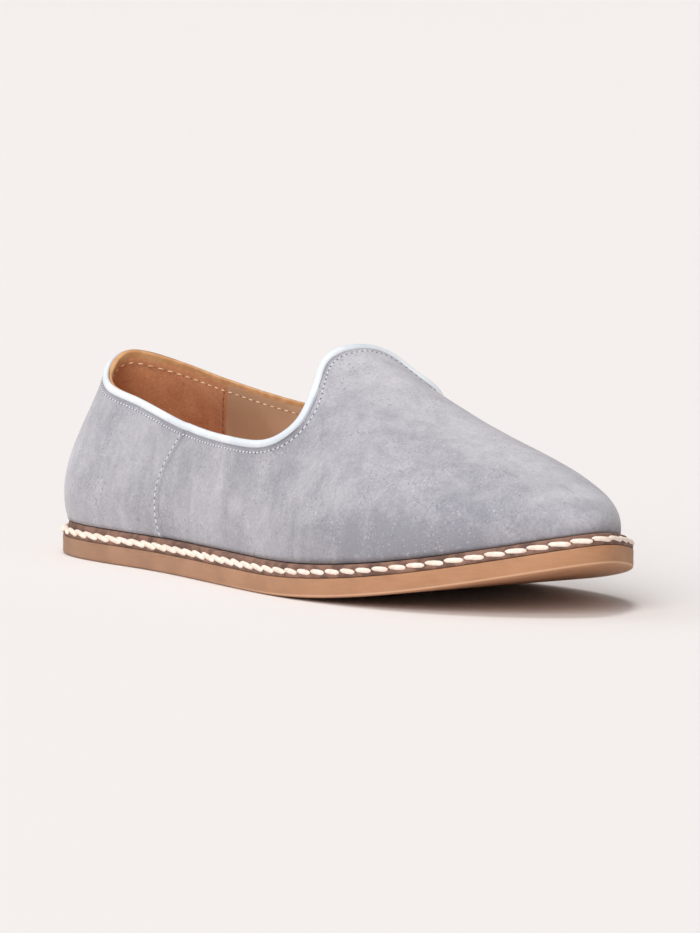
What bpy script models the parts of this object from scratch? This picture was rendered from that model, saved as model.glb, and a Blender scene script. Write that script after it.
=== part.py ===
"""Flat slip-on shoe for the right foot, standing empty on its sole.

Lengths are metres: +X runs to the toe, -Y is the outer side of the foot and +Z is up. The origin is at the
bottom centre of the shoe's box. Tables give places on the last as shares: stations along LENGTH from the heel
back, half widths over BALL_WIDTH and heights over INSTEP.
"""
import bmesh
import bpy
import numpy as np
from typing import NamedTuple

MM = 0.001

# Driving sizes of the last
LENGTH = 252.0 * MM
BALL_WIDTH = 85.0 * MM
INSTEP = 70.2 * MM

# Sole: flat from the heel to the ball, then sprung up to the toe
TOE_SPRING = 15.5 * MM
SPRING_FROM = 0.545
OUTSOLE_THICK = 6.3 * MM
OUTSOLE_EDGE = 0.9 * MM

# Welt rim: a low outer edge, a ledge that carries the thread, and a lip behind it
WELT_EDGE = 0.8 * MM
LEDGE_WIDTH = 1.6 * MM
LEDGE_RISE = 0.5 * MM
LIP_SLOPE = 0.5 * MM

# Upper, piping and insole
WALL = 1.8 * MM
SEAM_STEP = 0.5 * MM
PIPING_RADIUS = 1.25 * MM
PIPING_GAP = 0.36 * MM
INSOLE_THICK = 2.4 * MM

GAP = 0.3 * MM

# Mesh densities and tolerances
CURVE_POINTS = 1440
CHAIN_STEPS = 50
SPOKE_STEPS = 84
SPOKE_ROWS = 10
TOPLINE_WEIGHT = 2.0
PIPING_SIDES = 2
PIPING_EASING = 2
MERGE_DISTANCE = 0.01 * MM
SMOOTH_ANGLE = np.radians(40)
TINY = 1e-9


class Outline(NamedTuple):
    """Half widths of the sole at one station."""
    station: float
    outer: float
    inner: float


class Rim(NamedTuple):
    """Inset of the upper from the sole edge, and height of the lip, by share of the way from toe to heel."""
    share: float
    inset: float
    lip: float


class Collar(NamedTuple):
    """One place on the topline, on both sides of the foot."""
    station: float
    outer: float
    outer_height: float
    inner: float
    inner_height: float


class Ridge(NamedTuple):
    """One place on the crest of the vamp."""
    station: float
    inner: float
    height: float


class Spoke(NamedTuple):
    """A section of the upper from its base to its crest or topline.

    base is the share of the base from toe to heel. top runs from 0 to 1 along the crest and from 1 to 2 along
    the topline. The rest shape the section: how far it swells and rises from its base, and how far it spreads,
    leads forward and drops from its top.
    """
    base: float
    top: float
    low_out: float
    low_rise: float
    high_out: float
    high_lead: float
    high_drop: float


OUTLINE = [
    Outline(1.000, -0.047, 0.047),
    Outline(0.974, 0.124, 0.206),
    Outline(0.915, 0.282, 0.365),
    Outline(0.835, 0.406, 0.455),
    Outline(0.745, 0.479, 0.494),
    Outline(0.645, 0.509, 0.476),
    Outline(0.530, 0.482, 0.418),
    Outline(0.400, 0.424, 0.371),
    Outline(0.260, 0.380, 0.365),
    Outline(0.125, 0.366, 0.364),
    Outline(0.035, 0.258, 0.253),
    Outline(0.000, 0.000, 0.000),
]

RIM = [
    Rim(0.00, 3.9 * MM, 3.1 * MM),
    Rim(0.25, 4.0 * MM, 3.1 * MM),
    Rim(0.50, 3.8 * MM, 3.2 * MM),
    Rim(0.75, 2.9 * MM, 3.5 * MM),
    Rim(0.92, 2.1 * MM, 3.7 * MM),
    Rim(1.00, 2.0 * MM, 3.7 * MM),
]

COLLAR = [
    Collar(0.537, -0.018, 1.012, 0.018, 1.012),
    Collar(0.538, 0.135, 0.964, 0.170, 0.946),
    Collar(0.552, 0.198, 0.890, 0.229, 0.868),
    Collar(0.565, 0.253, 0.826, 0.276, 0.793),
    Collar(0.565, 0.306, 0.726, 0.318, 0.708),
    Collar(0.548, 0.350, 0.650, 0.345, 0.652),
    Collar(0.506, 0.365, 0.601, 0.347, 0.627),
    Collar(0.448, 0.356, 0.595, 0.335, 0.621),
    Collar(0.377, 0.325, 0.602, 0.311, 0.635),
    Collar(0.270, 0.271, 0.641, 0.261, 0.678),
    Collar(0.159, 0.221, 0.701, 0.214, 0.746),
    Collar(0.075, 0.158, 0.761, 0.151, 0.812),
    Collar(0.040, 0.000, 0.849, 0.000, 0.849),
]

RIDGE = [
    Ridge(0.909, 0.082, 0.517),
    Ridge(0.825, 0.071, 0.624),
    Ridge(0.746, 0.059, 0.698),
    Ridge(0.667, 0.041, 0.780),
    Ridge(0.595, 0.026, 0.903),
    Ridge(0.537, 0.018, 1.012),
]

SPOKES = [
    Spoke(0.000, 0.000, 1.5 * MM, 0.62, 0.0 * MM, 11.0 * MM, 0.00),
    Spoke(0.085, 0.110, 2.0 * MM, 0.60, 11.0 * MM, 8.0 * MM, 0.00),
    Spoke(0.175, 0.360, 2.5 * MM, 0.52, 20.0 * MM, 4.0 * MM, 0.00),
    Spoke(0.252, 0.620, 3.0 * MM, 0.47, 22.0 * MM, 4.0 * MM, 0.00),
    Spoke(0.308, 0.850, 3.0 * MM, 0.45, 20.5 * MM, 8.0 * MM, 0.01),
    Spoke(0.338, 1.000, 2.8 * MM, 0.44, 19.0 * MM, 14.5 * MM, 0.06),
    Spoke(0.355, 1.074, 2.5 * MM, 0.43, 9.0 * MM, 12.0 * MM, 0.05),
    Spoke(0.374, 1.115, 2.3 * MM, 0.43, 6.0 * MM, 10.0 * MM, 0.08),
    Spoke(0.397, 1.153, 2.0 * MM, 0.42, 4.5 * MM, 7.5 * MM, 0.12),
    Spoke(0.426, 1.197, 1.8 * MM, 0.42, 3.2 * MM, 5.0 * MM, 0.18),
    Spoke(0.460, 1.240, 1.5 * MM, 0.41, 2.4 * MM, 2.5 * MM, 0.24),
    Spoke(0.504, 1.303, 1.3 * MM, 0.40, 2.2 * MM, 0.5 * MM, 0.27),
    Spoke(0.550, 1.385, 1.2 * MM, 0.40, 2.0 * MM, 0.0 * MM, 0.28),
    Spoke(0.612, 1.484, 1.5 * MM, 0.40, 2.2 * MM, 0.0 * MM, 0.29),
    Spoke(0.684, 1.566, 2.3 * MM, 0.40, 2.8 * MM, 0.0 * MM, 0.30),
    Spoke(0.756, 1.704, 3.3 * MM, 0.40, 3.4 * MM, 0.0 * MM, 0.30),
    Spoke(0.864, 1.860, 4.6 * MM, 0.39, 4.2 * MM, 0.0 * MM, 0.31),
    Spoke(0.926, 1.940, 5.0 * MM, 0.38, 4.4 * MM, 0.0 * MM, 0.32),
    Spoke(1.000, 2.000, 4.6 * MM, 0.38, 4.0 * MM, 0.0 * MM, 0.32),
]

# Rows of the spoke table: the tongue's tip, the side seam, and where fairing sets in and dies out
TONGUE_TIP = 5
SEAM = 14
SEAM_WIDTH = 0.012
SPOKE_CLEARANCE = 0.036
FAIRING_FROM = (1.0, 3.0)
FAIRING_TO = (11.0, 13.0)
FAIRING_REACH = 3.5
FAIRING_PASSES = 40

# Part of the topline, as top in the spoke table, over which sections turn to follow the sole's outline
TURN_FROM = 1.2
TURN_TO = 1.5

# Colours
GUM = (0.44, 0.25, 0.155)
WELT_BROWN = (0.16, 0.085, 0.055)
TAN = (0.36, 0.17, 0.085)
PALE_GREY = (0.50, 0.49, 0.53)
OFF_WHITE = (0.82, 0.86, 0.88)


def spline(points, count, closed):
    """Cubic spline through the points, natural at its ends or closed, sampled evenly in its parameter."""
    points = np.asarray(points, float)
    ahead = np.roll(points, -1, 0) if closed else points[1:]
    spans = np.linalg.norm(ahead - points[:len(ahead)], axis=1)
    size = len(points)
    matrix = np.eye(size)
    right = np.zeros_like(points)
    for i in range(0 if closed else 1, size if closed else size - 1):
        before, after = spans[i - 1], spans[i]
        following = (i + 1) % size
        matrix[i, i] = 2 * (before + after)
        matrix[i, i - 1] = before
        matrix[i, following] = after
        right[i] = 6 * ((points[following] - points[i]) / after - (points[i] - points[i - 1]) / before)
    bend = np.linalg.solve(matrix, right)
    knots = np.concatenate([[0], np.cumsum(spans)])
    where = np.linspace(0, knots[-1], count, endpoint=not closed)
    i = np.clip(np.searchsorted(knots, where, side="right") - 1, 0, len(spans) - 1)
    j = (i + 1) % size
    span = spans[i][:, None]
    left = (where - knots[i])[:, None]
    rest = span - left
    cubic = (bend[i] * rest ** 3 + bend[j] * left ** 3) / (6 * span)
    straight = (points[i] / span - bend[i] * span / 6) * rest + (points[j] / span - bend[j] * span / 6) * left
    return cubic + straight


def along(curve, share):
    """Points at shares of the curve's length."""
    steps = np.linalg.norm(np.diff(curve[:, :3], axis=0), axis=1)
    length = np.concatenate([[0], np.cumsum(steps)])
    return np.stack([np.interp(share, length / length[-1], column) for column in curve.T], axis=-1)


def eased(places, values, where):
    """Smooth curve through a table's column that never overshoots its rows."""
    places = np.asarray(places, float)
    values = np.asarray(values, float)
    spans = np.diff(places)
    rates = np.diff(values) / spans
    slopes = np.zeros_like(values)
    same_sign = rates[:-1] * rates[1:] > 0
    near = 2 * spans[1:] + spans[:-1]
    far = spans[1:] + 2 * spans[:-1]
    safe = np.where(same_sign, rates[:-1], 1.0), np.where(same_sign, rates[1:], 1.0)
    slopes[1:-1] = np.where(same_sign, (near + far) / (near / safe[0] + far / safe[1]), 0.0)
    i = np.clip(np.searchsorted(places, where, side="right") - 1, 0, len(spans) - 1)
    u = np.clip((where - places[i]) / spans[i], 0, 1)
    rise = u * u * (3 - 2 * u)
    lead_in = u * (1 - u) ** 2 * spans[i] * slopes[i]
    lead_out = u * u * (u - 1) * spans[i] * slopes[i + 1]
    return values[i] * (1 - rise) + values[i + 1] * rise + lead_in + lead_out


def blend(low, high, value):
    """Smooth step from 0 at low to 1 at high."""
    u = np.clip((value - low) / (high - low), 0, 1)
    return u * u * (3 - 2 * u)


def spring(x):
    """Height of the sole's underside above the floor, x from the heel back."""
    past = np.clip((x / LENGTH - SPRING_FROM) / (1 - SPRING_FROM), 0, None)
    return TOE_SPRING * past ** 2


def unit(vectors):
    """Vectors scaled to length 1."""
    return vectors / np.maximum(np.linalg.norm(vectors, axis=1), TINY)[:, None]


class Chain(NamedTuple):
    """One side of the sole's outline from toe tip to heel back, with its outward normals."""
    points: np.ndarray
    normals: np.ndarray


def sole_chains():
    """Outer and inner side of the sole's outline."""
    outer = [(row.station * LENGTH, -row.outer * BALL_WIDTH) for row in OUTLINE]
    inner = [(row.station * LENGTH, row.inner * BALL_WIDTH) for row in OUTLINE[-2:0:-1]]
    loop = spline(outer + inner, CURVE_POINTS, True)
    heading = unit(np.roll(loop, -1, 0) - np.roll(loop, 1, 0))
    normals = np.stack([heading[:, 1], -heading[:, 0]], axis=1)
    normals *= np.sign(np.sum(normals * (loop - loop.mean(axis=0))))
    both = np.concatenate([loop, normals], axis=1)
    both = np.roll(both, -np.argmax(both[:, 0]), 0)
    heel = np.argmin(both[:, 0])
    first = both[:heel + 1]
    second = np.concatenate([both[heel:], both[:1]])[::-1]
    return [Chain(side[:, :2], side[:, 2:]) for side in (first, second)]


def rim_column(name, share):
    """A column of the rim table at shares of the way from toe to heel."""
    return eased([row.share for row in RIM], [getattr(row, name) for row in RIM], share)


def side_line(chain, inset, height):
    """A line beside the sole's outline: inset and height are functions of the share from toe to heel."""
    share = np.linspace(0, 1, len(chain.points))
    plan = chain.points - chain.normals * inset(share)[:, None]
    return np.column_stack([plan, spring(plan[:, 0]) + height(share)])


def ring(inset, height):
    """Closed ring of points round the sole, outer side first."""
    shares = np.linspace(0, 1, CHAIN_STEPS + 1)
    outer, inner = (along(side_line(chain, inset, height), shares) for chain in sole_chains())
    return np.concatenate([outer, inner[-2:0:-1]])


def even(value):
    """A column with one value all along."""
    return lambda share: np.full_like(share, value)


def welt_top(share):
    """Height of the lip above the underside."""
    return OUTSOLE_THICK + GAP + rim_column("lip", share)


def middle():
    """Shift that puts the shoe's middle over the origin."""
    outline = ring(even(0.0), even(0.0))
    low, high = outline.min(axis=0), outline.max(axis=0)
    return np.array([-(low[0] + high[0]) / 2, -(low[1] + high[1]) / 2, 0.0])


def cap_faces(start, count, upward):
    """Faces that close a ring straight across, from one side of the foot to the other."""
    faces = []
    for i in range(count // 2):
        corners = [i, i + 1, count - i - 1, (count - i) % count]
        corners = [corner + start for n, corner in enumerate(corners) if corner not in corners[:n]]
        faces.append(corners[::-1] if upward else corners)
    return faces


def band_faces(start, count):
    """Faces between a ring and the next one above it."""
    faces = []
    for i in range(count):
        after = (i + 1) % count
        faces.append([start + i, start + count + i, start + count + after, start + after])
    return faces


def add_object(name, points, faces, material, collection):
    """Object of one closed mesh, its faces turned outwards."""
    mesh = bpy.data.meshes.new(name)
    mesh.from_pydata([tuple(point) for point in points + middle()], [], faces)
    bm = bmesh.new()
    bm.from_mesh(mesh)
    bmesh.ops.remove_doubles(bm, verts=bm.verts, dist=MERGE_DISTANCE)
    bmesh.ops.recalc_face_normals(bm, faces=bm.faces)
    bm.to_mesh(mesh)
    bm.free()
    mesh.shade_smooth()
    mesh.set_sharp_from_angle(angle=SMOOTH_ANGLE)
    mesh.materials.append(material)
    piece = bpy.data.objects.new(name, mesh)
    collection.objects.link(piece)
    return piece


def stack(name, rings, material, collection):
    """Slab from rings that go from its underside to its top."""
    count = len(rings[0])
    faces = cap_faces(0, count, False)
    for level in range(len(rings) - 1):
        faces += band_faces(level * count, count)
    faces += cap_faces((len(rings) - 1) * count, count, True)
    return add_object(name, np.concatenate(rings), faces, material, collection)


def finish(name, colour, roughness):
    """Principled material with one colour and roughness."""
    material = bpy.data.materials.new(name)
    material.use_nodes = True
    shader = material.node_tree.nodes["Principled BSDF"]
    shader.inputs["Base Color"].default_value = (*colour, 1.0)
    shader.inputs["Roughness"].default_value = roughness
    shader.inputs["Metallic"].default_value = 0.0
    return material


def build_outsole(collection):
    """Rubber sole with a softened bottom edge and toe spring."""
    rings = [
        ring(even(OUTSOLE_EDGE), even(0.0)),
        ring(even(0.0), even(OUTSOLE_EDGE)),
        ring(even(0.0), even(OUTSOLE_THICK)),
    ]
    return stack("outsole", rings, finish("gum_rubber", GUM, 0.6), collection)


def build_welt(collection):
    """Leather slab whose rim steps from the sole edge up to the lip under the upper."""
    bottom = OUTSOLE_THICK + GAP
    ledge = bottom + WELT_EDGE + LEDGE_RISE
    lip = even(LEDGE_WIDTH + LIP_SLOPE)
    rings = [
        ring(even(0.0), even(bottom)),
        ring(even(0.0), even(bottom + WELT_EDGE)),
        ring(even(LEDGE_WIDTH), even(ledge)),
        ring(lip, welt_top),
    ]
    return stack("welt", rings, finish("welt_leather", WELT_BROWN, 0.7), collection)


def build_insole(collection):
    """Leather footbed inside the wall of the upper, on the welt."""
    def inset(share):
        return rim_column("inset", share) + WALL + GAP

    rings = [
        ring(inset, lambda share: welt_top(share) + GAP),
        ring(inset, lambda share: welt_top(share) + GAP + INSOLE_THICK),
    ]
    return stack("insole", rings, finish("insole_leather", TAN, 0.6), collection)


def crest():
    """Crest of the vamp from the toe to the tip of the tongue."""
    rows = [(row.station * LENGTH, row.inner * BALL_WIDTH, row.height * INSTEP) for row in RIDGE]
    return spline(rows, CURVE_POINTS, False)


def topline_sides():
    """Topline from the tongue tip to the heel back, on the outer and the inner side."""
    outer = [(row.station * LENGTH, -row.outer * BALL_WIDTH, row.outer_height * INSTEP) for row in COLLAR]
    inner = [(row.station * LENGTH, row.inner * BALL_WIDTH, row.inner_height * INSTEP) for row in COLLAR]
    loop = spline(outer + inner[-2:0:-1], CURVE_POINTS, True)
    heel = np.argmin(loop[:, 0])
    return loop[:heel + 1], np.concatenate([loop[heel:], loop[:1]])[::-1]


def spoke_column(name, where):
    """A column of the spoke table at places between its rows."""
    return eased(np.arange(len(SPOKES)), [getattr(row, name) for row in SPOKES], where)


def top_points(topline, share):
    """Places on the crest, then on the topline."""
    on_crest = along(crest(), np.clip(share, 0, 1))
    on_topline = along(topline, np.clip(share - 1, 0, 1))
    return np.where((share <= 1)[:, None], on_crest, on_topline)


def spoke_places(base, topline):
    """Places of the sections in the table, spread evenly over the wall.

    One is at the tip of the tongue, where the crest ends, and one on each edge of the seam.
    """
    dense = np.linspace(0, len(SPOKES) - 1, CURVE_POINTS)
    low = along(base, spoke_column("base", dense))
    high = top_points(topline, spoke_column("top", dense))
    low_step, high_step = (np.linalg.norm(np.diff(line, axis=0), axis=1) for line in (low, high))
    run = np.concatenate([[0], np.cumsum(low_step + TOPLINE_WEIGHT * high_step)])
    places = np.interp(np.linspace(0, run[-1], SPOKE_STEPS), run, dense)
    fixed = [TONGUE_TIP, SEAM - SEAM_WIDTH, SEAM + SEAM_WIDTH]
    clear = [place for place in places if min(abs(place - own) for own in fixed) > SPOKE_CLEARANCE]
    return np.array(sorted(clear + fixed))


def base_line(chain):
    """Lower edge of the upper on one side, just above the lip of the welt."""
    return side_line(chain, lambda share: rim_column("inset", share), lambda share: welt_top(share) + GAP)


def wall_grid(chain, topline, side, where):
    """Outside of one half of the upper: rows from base to top of sections from toe to heel."""
    low = along(np.column_stack([base_line(chain), chain.normals]), spoke_column("base", where))
    out = np.column_stack([unit(low[:, 3:]), np.zeros(len(low))])
    out[0] = (1, 0, 0)
    out[-1] = (-1, 0, 0)
    low = low[:, :3]
    top_share = spoke_column("top", where)
    high = top_points(topline, top_share)
    rise = np.column_stack([np.zeros((len(low), 2)), high[:, 2] - low[:, 2]])

    # Across the crest a section spreads straight sideways, and round the heel it follows the sole's outline
    turn = blend(TURN_FROM, TURN_TO, top_share)[:, None]
    spread = unit(out * turn + np.array([0.0, side, 0.0]) * (1 - turn))
    line = crest()
    slope = np.gradient(line[:, 2]) / np.gradient(line[:, 0])
    slope = np.interp(np.clip(top_share, 0, 1), np.linspace(0, 1, len(slope)), slope)
    lead = spoke_column("high_lead", where)
    forward = np.column_stack([lead, np.zeros(len(lead)), lead * slope])

    first = low + spoke_column("low_out", where)[:, None] * out + spoke_column("low_rise", where)[:, None] * rise
    second = high + spoke_column("high_out", where)[:, None] * spread + forward
    second = second - spoke_column("high_drop", where)[:, None] * rise
    t = np.linspace(0, 1, SPOKE_ROWS + 1)[:, None, None]
    grid = (1 - t) ** 3 * low + 3 * (1 - t) ** 2 * t * first + 3 * (1 - t) * t ** 2 * second + t ** 3 * high
    return faired(grid, t, where) + np.where(where > SEAM, SEAM_STEP, 0.0)[:, None] * out


def faired(grid, t, where):
    """Even out the sections between the toe and the waist, holding the base and the top."""
    inside = np.minimum(1.0, FAIRING_REACH * t * (1 - t))
    span = (blend(*FAIRING_FROM, where) * (1 - blend(*FAIRING_TO, where)))[None, :, None]
    for _ in range(FAIRING_PASSES):
        beside = (np.roll(grid, 1, axis=1) + np.roll(grid, -1, axis=1)) / 2
        grid = grid + inside * span * (beside - grid) / 2
    return grid


def build_upper(collection):
    """Hollow suede upper: the outside of both halves, joined at toe, crest and heel, thickened inwards."""
    points = []
    faces = []
    chains = sole_chains()
    toplines = topline_sides()
    where = spoke_places(base_line(chains[0]), toplines[0])
    for chain, topline, side in zip(chains, toplines, (-1.0, 1.0)):
        grid = wall_grid(chain, topline, side, where)
        rows, columns = grid.shape[:2]
        start = len(points)
        points += list(grid.reshape(-1, 3))
        for row in range(rows - 1):
            for column in range(columns - 1):
                corner = start + row * columns + column
                faces.append([corner, corner + columns, corner + columns + 1, corner + 1])
    upper = add_object("upper", np.array(points), faces, finish("suede", PALE_GREY, 0.9), collection)
    thicken = upper.modifiers.new("wall", "SOLIDIFY")
    thicken.thickness = WALL
    thicken.offset = -1.0
    return upper


def topline_loop(mesh):
    """Vertices of the open edge at the collar, in order round it, with their faces' normals."""
    bm = bmesh.new()
    bm.from_mesh(mesh)
    bm.normal_update()
    edge = [vert for vert in bm.verts if vert.is_boundary]
    vert = max(edge, key=lambda v: v.co.z)
    loop = [vert]
    while True:
        beside = [e.other_vert(loop[-1]) for e in loop[-1].link_edges if e.is_boundary]
        beside = [v for v in beside if v not in loop[-2:] and v is not loop[0]]
        if not beside:
            break
        loop.append(beside[0])
    points = np.array([v.co for v in loop])
    normals = np.array([v.normal for v in loop])
    bm.free()
    return points, normals


def build_piping(upper, collection):
    """Round leather bead that stands on the edge of the wall all along the topline."""
    points, normals = topline_loop(upper.data)
    heading = unit(np.roll(points, -1, 0) - np.roll(points, 1, 0))
    upward = unit(np.cross(normals, heading))
    upward *= np.sign(upward[:, 2].sum())
    for _ in range(PIPING_EASING):
        upward = unit(np.roll(upward, 1, 0) + 2 * upward + np.roll(upward, -1, 0))
    line = points + upward * (PIPING_RADIUS + PIPING_GAP) - normals * WALL / 2
    spacing = np.linalg.norm(line - np.roll(line, 1, 0), axis=1)
    line = line[spacing > PIPING_RADIUS]

    curve = bpy.data.curves.new("piping", "CURVE")
    curve.dimensions = "3D"
    curve.bevel_depth = PIPING_RADIUS
    curve.bevel_resolution = PIPING_SIDES
    bead = curve.splines.new("POLY")
    bead.points.add(len(line) - 1)
    for point, place in zip(bead.points, line):
        point.co = (*place, 1.0)
    bead.use_cyclic_u = True
    curve.materials.append(finish("piping_leather", OFF_WHITE, 0.45))
    piece = bpy.data.objects.new("piping", curve)
    collection.objects.link(piece)
    return piece


def main():
    """Build the shoe's pieces in a collection of their own."""
    for old in list(bpy.data.objects):
        bpy.data.objects.remove(old)
    collection = bpy.data.collections.new("flat_slip_on_shoe")
    bpy.context.scene.collection.children.link(collection)
    build_outsole(collection)
    build_welt(collection)
    build_insole(collection)
    upper = build_upper(collection)
    build_piping(upper, collection)


main()
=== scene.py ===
"""Looks of a flat slip-on shoe for the right foot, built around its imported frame.

Lengths are metres: +X runs to the toe, -Y is the outer side of the foot and +Z is up. Tables give places on
the last as shares: stations along the length from the heel back, half widths over the ball width and heights
over the instep. Pieces are worked out from the heel back and moved to the frame's origin when made.
"""

import logging
from dataclasses import dataclass
from enum import Enum
from functools import cached_property
from typing import Callable, NamedTuple, Sequence

import bpy
import numpy as np
from mathutils import Matrix, Vector
from mathutils.bvhtree import BVHTree


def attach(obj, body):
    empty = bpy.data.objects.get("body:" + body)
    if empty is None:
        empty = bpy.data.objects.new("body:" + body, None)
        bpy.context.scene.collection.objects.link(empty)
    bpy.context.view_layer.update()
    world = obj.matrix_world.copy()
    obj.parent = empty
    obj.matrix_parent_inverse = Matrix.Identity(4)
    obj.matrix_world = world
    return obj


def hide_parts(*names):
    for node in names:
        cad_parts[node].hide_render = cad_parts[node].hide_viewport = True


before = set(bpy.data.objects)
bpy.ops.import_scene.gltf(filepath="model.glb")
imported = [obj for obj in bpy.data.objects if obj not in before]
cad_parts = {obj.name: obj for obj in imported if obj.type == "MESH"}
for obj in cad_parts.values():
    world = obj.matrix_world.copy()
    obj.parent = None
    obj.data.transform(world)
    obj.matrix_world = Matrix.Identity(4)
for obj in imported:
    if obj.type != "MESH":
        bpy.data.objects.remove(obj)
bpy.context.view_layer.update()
LOG = logging.getLogger("shoe")

MM = 0.001
TINY = 1e-9
BODY = "root"
BRUSHED_AND_PAINTED_LIGHT = "brushed_and_painted_light"
EDGE_WEAR_AND_HIGHLIGHT = "edge_wear_and_highlight"
OUTWARD = "outward"
STRETCH = "stretch"

Column = Callable[[np.ndarray], np.ndarray]
Span = tuple[float, float]
Triple = tuple[float, float, float]
Screen = tuple[int, int, int]
Piece = bpy.types.Object
Node = bpy.types.Node
Socket = bpy.types.NodeSocket


class Side(Enum):
    """Side of the foot, with the sign of Y there."""
    OUTER = -1.0
    INNER = 1.0


class Slot(Enum):
    """Material slots of the record."""
    OUTSOLE = "outsole"
    WELT = "welt"
    UPPER = "upper"
    PIPING = "piping"
    INSOLE = "insole"


class Outline(NamedTuple):
    """Half widths of the sole at one station."""
    station: float
    outer: float
    inner: float


class Rim(NamedTuple):
    """Inset of the upper from the sole edge and height of the lip, by share of the way from toe to heel."""
    share: float
    inset: float
    lip: float


class Collar(NamedTuple):
    """One place on the topline, on both sides of the foot."""
    station: float
    outer: float
    outer_height: float
    inner: float
    inner_height: float


class Ridge(NamedTuple):
    """One place on the crest of the vamp."""
    station: float
    inner: float
    height: float


class Spoke(NamedTuple):
    """A section of the upper from its base to its crest or topline.

    base is the share of the base from toe to heel. top runs from 0 to 1 along the crest and from 1 to 2
    along the topline. The rest shape the section: how far it swells and rises from its base, and how far it
    spreads, leads forward and drops from its top.
    """
    base: float
    top: float
    low_out: float
    low_rise: float
    high_out: float
    high_lead: float
    high_drop: float


class Edge(NamedTuple):
    """Row of a sole piece's rim: inset from its outline, height, and share of the lip's height."""
    inset: float
    height: float
    lip: float = 0.0


class Spot(NamedTuple):
    """Soft spot on the upper's wall: its place, its reach along the foot and up, its lean and strength."""
    station: float
    height: float
    along: float
    up: float
    lean: float
    strength: float


class Layer(NamedTuple):
    """Layer of noise in a finish.

    size is about how wide its blotches are, detail how many finer layers it has and swirl how far it is
    distorted. Its values from low to high are spread smoothly from least to most.
    """
    size: float
    detail: float
    swirl: float
    low: float
    high: float
    least: float
    most: float


class Stitch(NamedTuple):
    """Kind of stitch: how far apart, its size, how pointed and slanted it is, and its needle hole."""
    pitch: float
    length: float
    width: float
    height: float
    taper: float
    slant: float
    hole: float


OUTLINE = [
    Outline(1.000, -0.047, 0.047),
    Outline(0.974, 0.124, 0.206),
    Outline(0.915, 0.282, 0.365),
    Outline(0.835, 0.406, 0.455),
    Outline(0.745, 0.479, 0.494),
    Outline(0.645, 0.509, 0.476),
    Outline(0.530, 0.482, 0.418),
    Outline(0.400, 0.424, 0.371),
    Outline(0.260, 0.380, 0.365),
    Outline(0.125, 0.366, 0.364),
    Outline(0.035, 0.258, 0.253),
    Outline(0.000, 0.000, 0.000),
]

RIM = [
    Rim(0.00, 3.9 * MM, 3.1 * MM),
    Rim(0.25, 4.0 * MM, 3.1 * MM),
    Rim(0.50, 3.8 * MM, 3.2 * MM),
    Rim(0.75, 2.9 * MM, 3.5 * MM),
    Rim(0.92, 2.1 * MM, 3.7 * MM),
    Rim(1.00, 2.0 * MM, 3.7 * MM),
]

COLLAR = [
    Collar(0.537, -0.018, 1.012, 0.018, 1.012),
    Collar(0.538, 0.135, 0.964, 0.170, 0.953),
    Collar(0.552, 0.198, 0.890, 0.229, 0.885),
    Collar(0.565, 0.253, 0.826, 0.288, 0.817),
    Collar(0.565, 0.306, 0.726, 0.324, 0.716),
    Collar(0.548, 0.350, 0.650, 0.345, 0.652),
    Collar(0.506, 0.365, 0.601, 0.347, 0.627),
    Collar(0.448, 0.356, 0.595, 0.335, 0.621),
    Collar(0.377, 0.325, 0.602, 0.311, 0.635),
    Collar(0.270, 0.271, 0.641, 0.261, 0.678),
    Collar(0.159, 0.221, 0.701, 0.214, 0.746),
    Collar(0.075, 0.158, 0.761, 0.151, 0.812),
    Collar(0.040, 0.000, 0.849, 0.000, 0.849),
]

RIDGE = [
    Ridge(0.909, 0.082, 0.517),
    Ridge(0.825, 0.071, 0.624),
    Ridge(0.746, 0.059, 0.698),
    Ridge(0.667, 0.041, 0.780),
    Ridge(0.595, 0.026, 0.903),
    Ridge(0.537, 0.018, 1.012),
]

SPOKES = [
    Spoke(0.000, 0.000, 1.5 * MM, 0.62, 0.0 * MM, 11.0 * MM, 0.00),
    Spoke(0.085, 0.110, 2.0 * MM, 0.60, 11.0 * MM, 8.0 * MM, 0.00),
    Spoke(0.175, 0.360, 2.5 * MM, 0.52, 20.0 * MM, 4.0 * MM, 0.00),
    Spoke(0.252, 0.620, 3.0 * MM, 0.47, 22.0 * MM, 4.0 * MM, 0.00),
    Spoke(0.308, 0.850, 3.0 * MM, 0.45, 20.5 * MM, 8.0 * MM, 0.01),
    Spoke(0.338, 1.000, 2.8 * MM, 0.44, 19.0 * MM, 14.5 * MM, 0.06),
    Spoke(0.355, 1.074, 2.5 * MM, 0.43, 9.0 * MM, 12.0 * MM, 0.05),
    Spoke(0.374, 1.115, 2.3 * MM, 0.43, 6.0 * MM, 10.0 * MM, 0.08),
    Spoke(0.397, 1.153, 2.0 * MM, 0.42, 4.5 * MM, 7.5 * MM, 0.12),
    Spoke(0.426, 1.197, 1.8 * MM, 0.42, 3.2 * MM, 5.0 * MM, 0.18),
    Spoke(0.460, 1.240, 1.5 * MM, 0.41, 2.4 * MM, 2.5 * MM, 0.24),
    Spoke(0.504, 1.303, 1.3 * MM, 0.40, 2.2 * MM, 0.5 * MM, 0.27),
    Spoke(0.550, 1.385, 1.2 * MM, 0.40, 2.0 * MM, 0.0 * MM, 0.28),
    Spoke(0.612, 1.484, 1.5 * MM, 0.40, 2.2 * MM, 0.0 * MM, 0.29),
    Spoke(0.684, 1.566, 2.3 * MM, 0.40, 2.8 * MM, 0.0 * MM, 0.30),
    Spoke(0.756, 1.704, 3.3 * MM, 0.40, 3.4 * MM, 0.0 * MM, 0.30),
    Spoke(0.864, 1.860, 4.6 * MM, 0.39, 4.2 * MM, 0.0 * MM, 0.31),
    Spoke(0.926, 1.940, 5.0 * MM, 0.38, 4.4 * MM, 0.0 * MM, 0.32),
    Spoke(1.000, 2.000, 4.6 * MM, 0.38, 4.0 * MM, 0.0 * MM, 0.32),
]

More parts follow.
